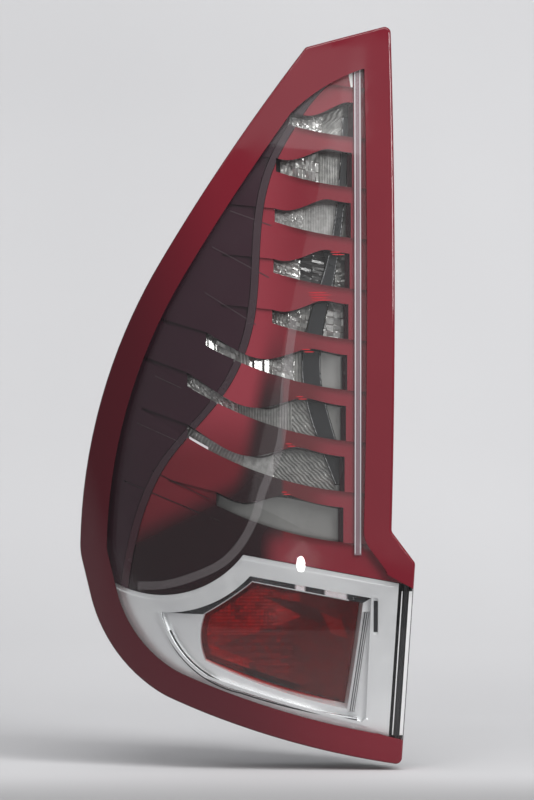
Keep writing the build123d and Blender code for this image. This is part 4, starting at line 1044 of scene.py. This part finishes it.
# Studio: a pale paper sweep, laid over a table, that curves up into a backdrop.  It is seen only
# from the lamp's side, so that the back of the lamp can be looked at through it.
floor_gap = 0.004
sweep_half = 4.0
sweep_profile = ((-0.33, 0.0), (0.5, 0.0), (0.75, 0.04), (0.92, 0.2), (1.0, 0.5), (1.0, 3.0))
floor_z = cad_box[0][2] - floor_gap
sweep = bmesh.new()
edge_points = [sweep.verts.new((-sweep_half, y, floor_z + z)) for y, z in sweep_profile]
edge_lines = [sweep.edges.new(pair) for pair in zip(edge_points, edge_points[1:])]
drawn = bmesh.ops.extrude_edge_only(sweep, edges=edge_lines)["geom"]
far_points = [item for item in drawn if isinstance(item, bmesh.types.BMVert)]
bmesh.ops.translate(sweep, vec=(2.0 * sweep_half, 0.0, 0.0), verts=far_points)
bmesh.ops.recalc_face_normals(sweep, faces=sweep.faces)
if sum(face.normal.z for face in sweep.faces) < 0.0:
    bmesh.ops.reverse_faces(sweep, faces=sweep.faces)
for face in sweep.faces:
    face.smooth = True
floor_mesh = bpy.data.meshes.new("studio_floor")
sweep.to_mesh(floor_mesh)
sweep.free()
studio_floor = bpy.data.objects.new("studio_floor", floor_mesh)
bpy.context.scene.collection.objects.link(studio_floor)
floor_paper, floor_tree, floor_shader = finish_with("floor_paper", {"Roughness": 0.9})
shade_between(floor_tree, floor_shader, cloudiness(floor_tree, scale=3.0, detail=2.0),
              (0.62, 0.62, 0.63), (0.65, 0.65, 0.66))
# Painted shade: the paper darkens towards the table's front edge
table_front_shade = ramp(floor_tree, along(floor_tree, (0.0, 1.0, 0.0)), -0.1, -0.34)
tint_where(floor_tree, floor_shader, table_front_shade, (0.38, 0.38, 0.385))
paper_side = floor_tree.nodes.new("ShaderNodeNewGeometry")
paper_back = floor_tree.nodes.new("ShaderNodeBsdfTransparent")
paper_mix = floor_tree.nodes.new("ShaderNodeMixShader")
floor_tree.links.new(paper_side.outputs["Backfacing"], paper_mix.inputs["Fac"])
floor_tree.links.new(floor_shader.outputs["BSDF"], paper_mix.inputs[1])
floor_tree.links.new(paper_back.outputs["BSDF"], paper_mix.inputs[2])
floor_tree.links.new(paper_mix.outputs["Shader"], floor_tree.nodes["Material Output"].inputs["Surface"])
floor_mesh.materials.append(floor_paper)

# Studio light: a dim room, a large soft box above the camera, one to the right for the edges
# and the flutes, tall panels behind the camera that grey the lens, and a low spot.
world = bpy.data.worlds.new("studio_room")
bpy.context.scene.world = world
world.use_nodes = True
room = world.node_tree.nodes["Background"]
room.inputs["Color"].default_value = (0.24, 0.24, 0.247, 1.0)
room.inputs["Strength"].default_value = 1.0
lamp_middle = (0.0, 0.0, 0.0)


def soft_box(name, place, aim, width, height, power, turn=0.0):
    """Rectangular soft box that faces a point, turned about its own axis."""
    lamp = bpy.data.lights.new(name, "AREA")
    lamp.shape = "RECTANGLE"
    lamp.size = width
    lamp.size_y = height
    lamp.energy = power
    holder = bpy.data.objects.new(name, lamp)
    bpy.context.scene.collection.objects.link(holder)
    facing = (Vector(aim) - Vector(place)).to_track_quat("-Z", "Y").to_matrix().to_4x4()
    holder.matrix_world = Matrix.Translation(place) @ facing @ Matrix.Rotation(turn, 4, "Z")
    return lamp


soft_box("box_above", (0.2, -1.9, 2.7), lamp_middle, width=2.6, height=1.2, power=55.0)
soft_box("box_right", (2.0, -2.5, 1.2), lamp_middle, width=1.2, height=1.6, power=75.0)
soft_box("box_left", (-2.0, -1.2, 2.6), lamp_middle, width=1.6, height=1.0, power=8.0)
soft_box("panel_camera", (0.92, -4.4, 0.9), (0.92, 0.0, 0.9), width=2.0, height=4.2, power=10.5, turn=-0.3)
soft_box("panel_top", (-0.6, -4.0, 2.3), lamp_middle, width=2.4, height=0.9, power=6.0)
spot_low = soft_box("spot_low", (-0.03, -2.5, -0.77), (0.047, -0.1, -0.104),
                    width=0.06, height=0.06, power=0.3)
spot_low.shape = "DISK"

# Camera: square-on to the lens from behind the car and from far off, as the photograph was taken,
# with a long lens that fills the height of the picture with the lamp.
view_x = 0.0265
view_z = -0.0032
view_height = 0.5056
camera_distance = 3.2
lens_face = 0.1
camera_data = bpy.data.cameras.new("camera")
camera = bpy.data.objects.new("camera", camera_data)
bpy.context.scene.collection.objects.link(camera)
camera.location = (view_x, -camera_distance, view_z)
camera.rotation_euler = (math.pi / 2, 0.0, 0.0)
camera_data.sensor_fit = "VERTICAL"
camera_data.sensor_height = 24.0
camera_data.lens = camera_data.sensor_height * (camera_distance - lens_face) / view_height
bpy.context.scene.camera = camera
bpy.context.scene.view_settings.view_transform = "Standard"
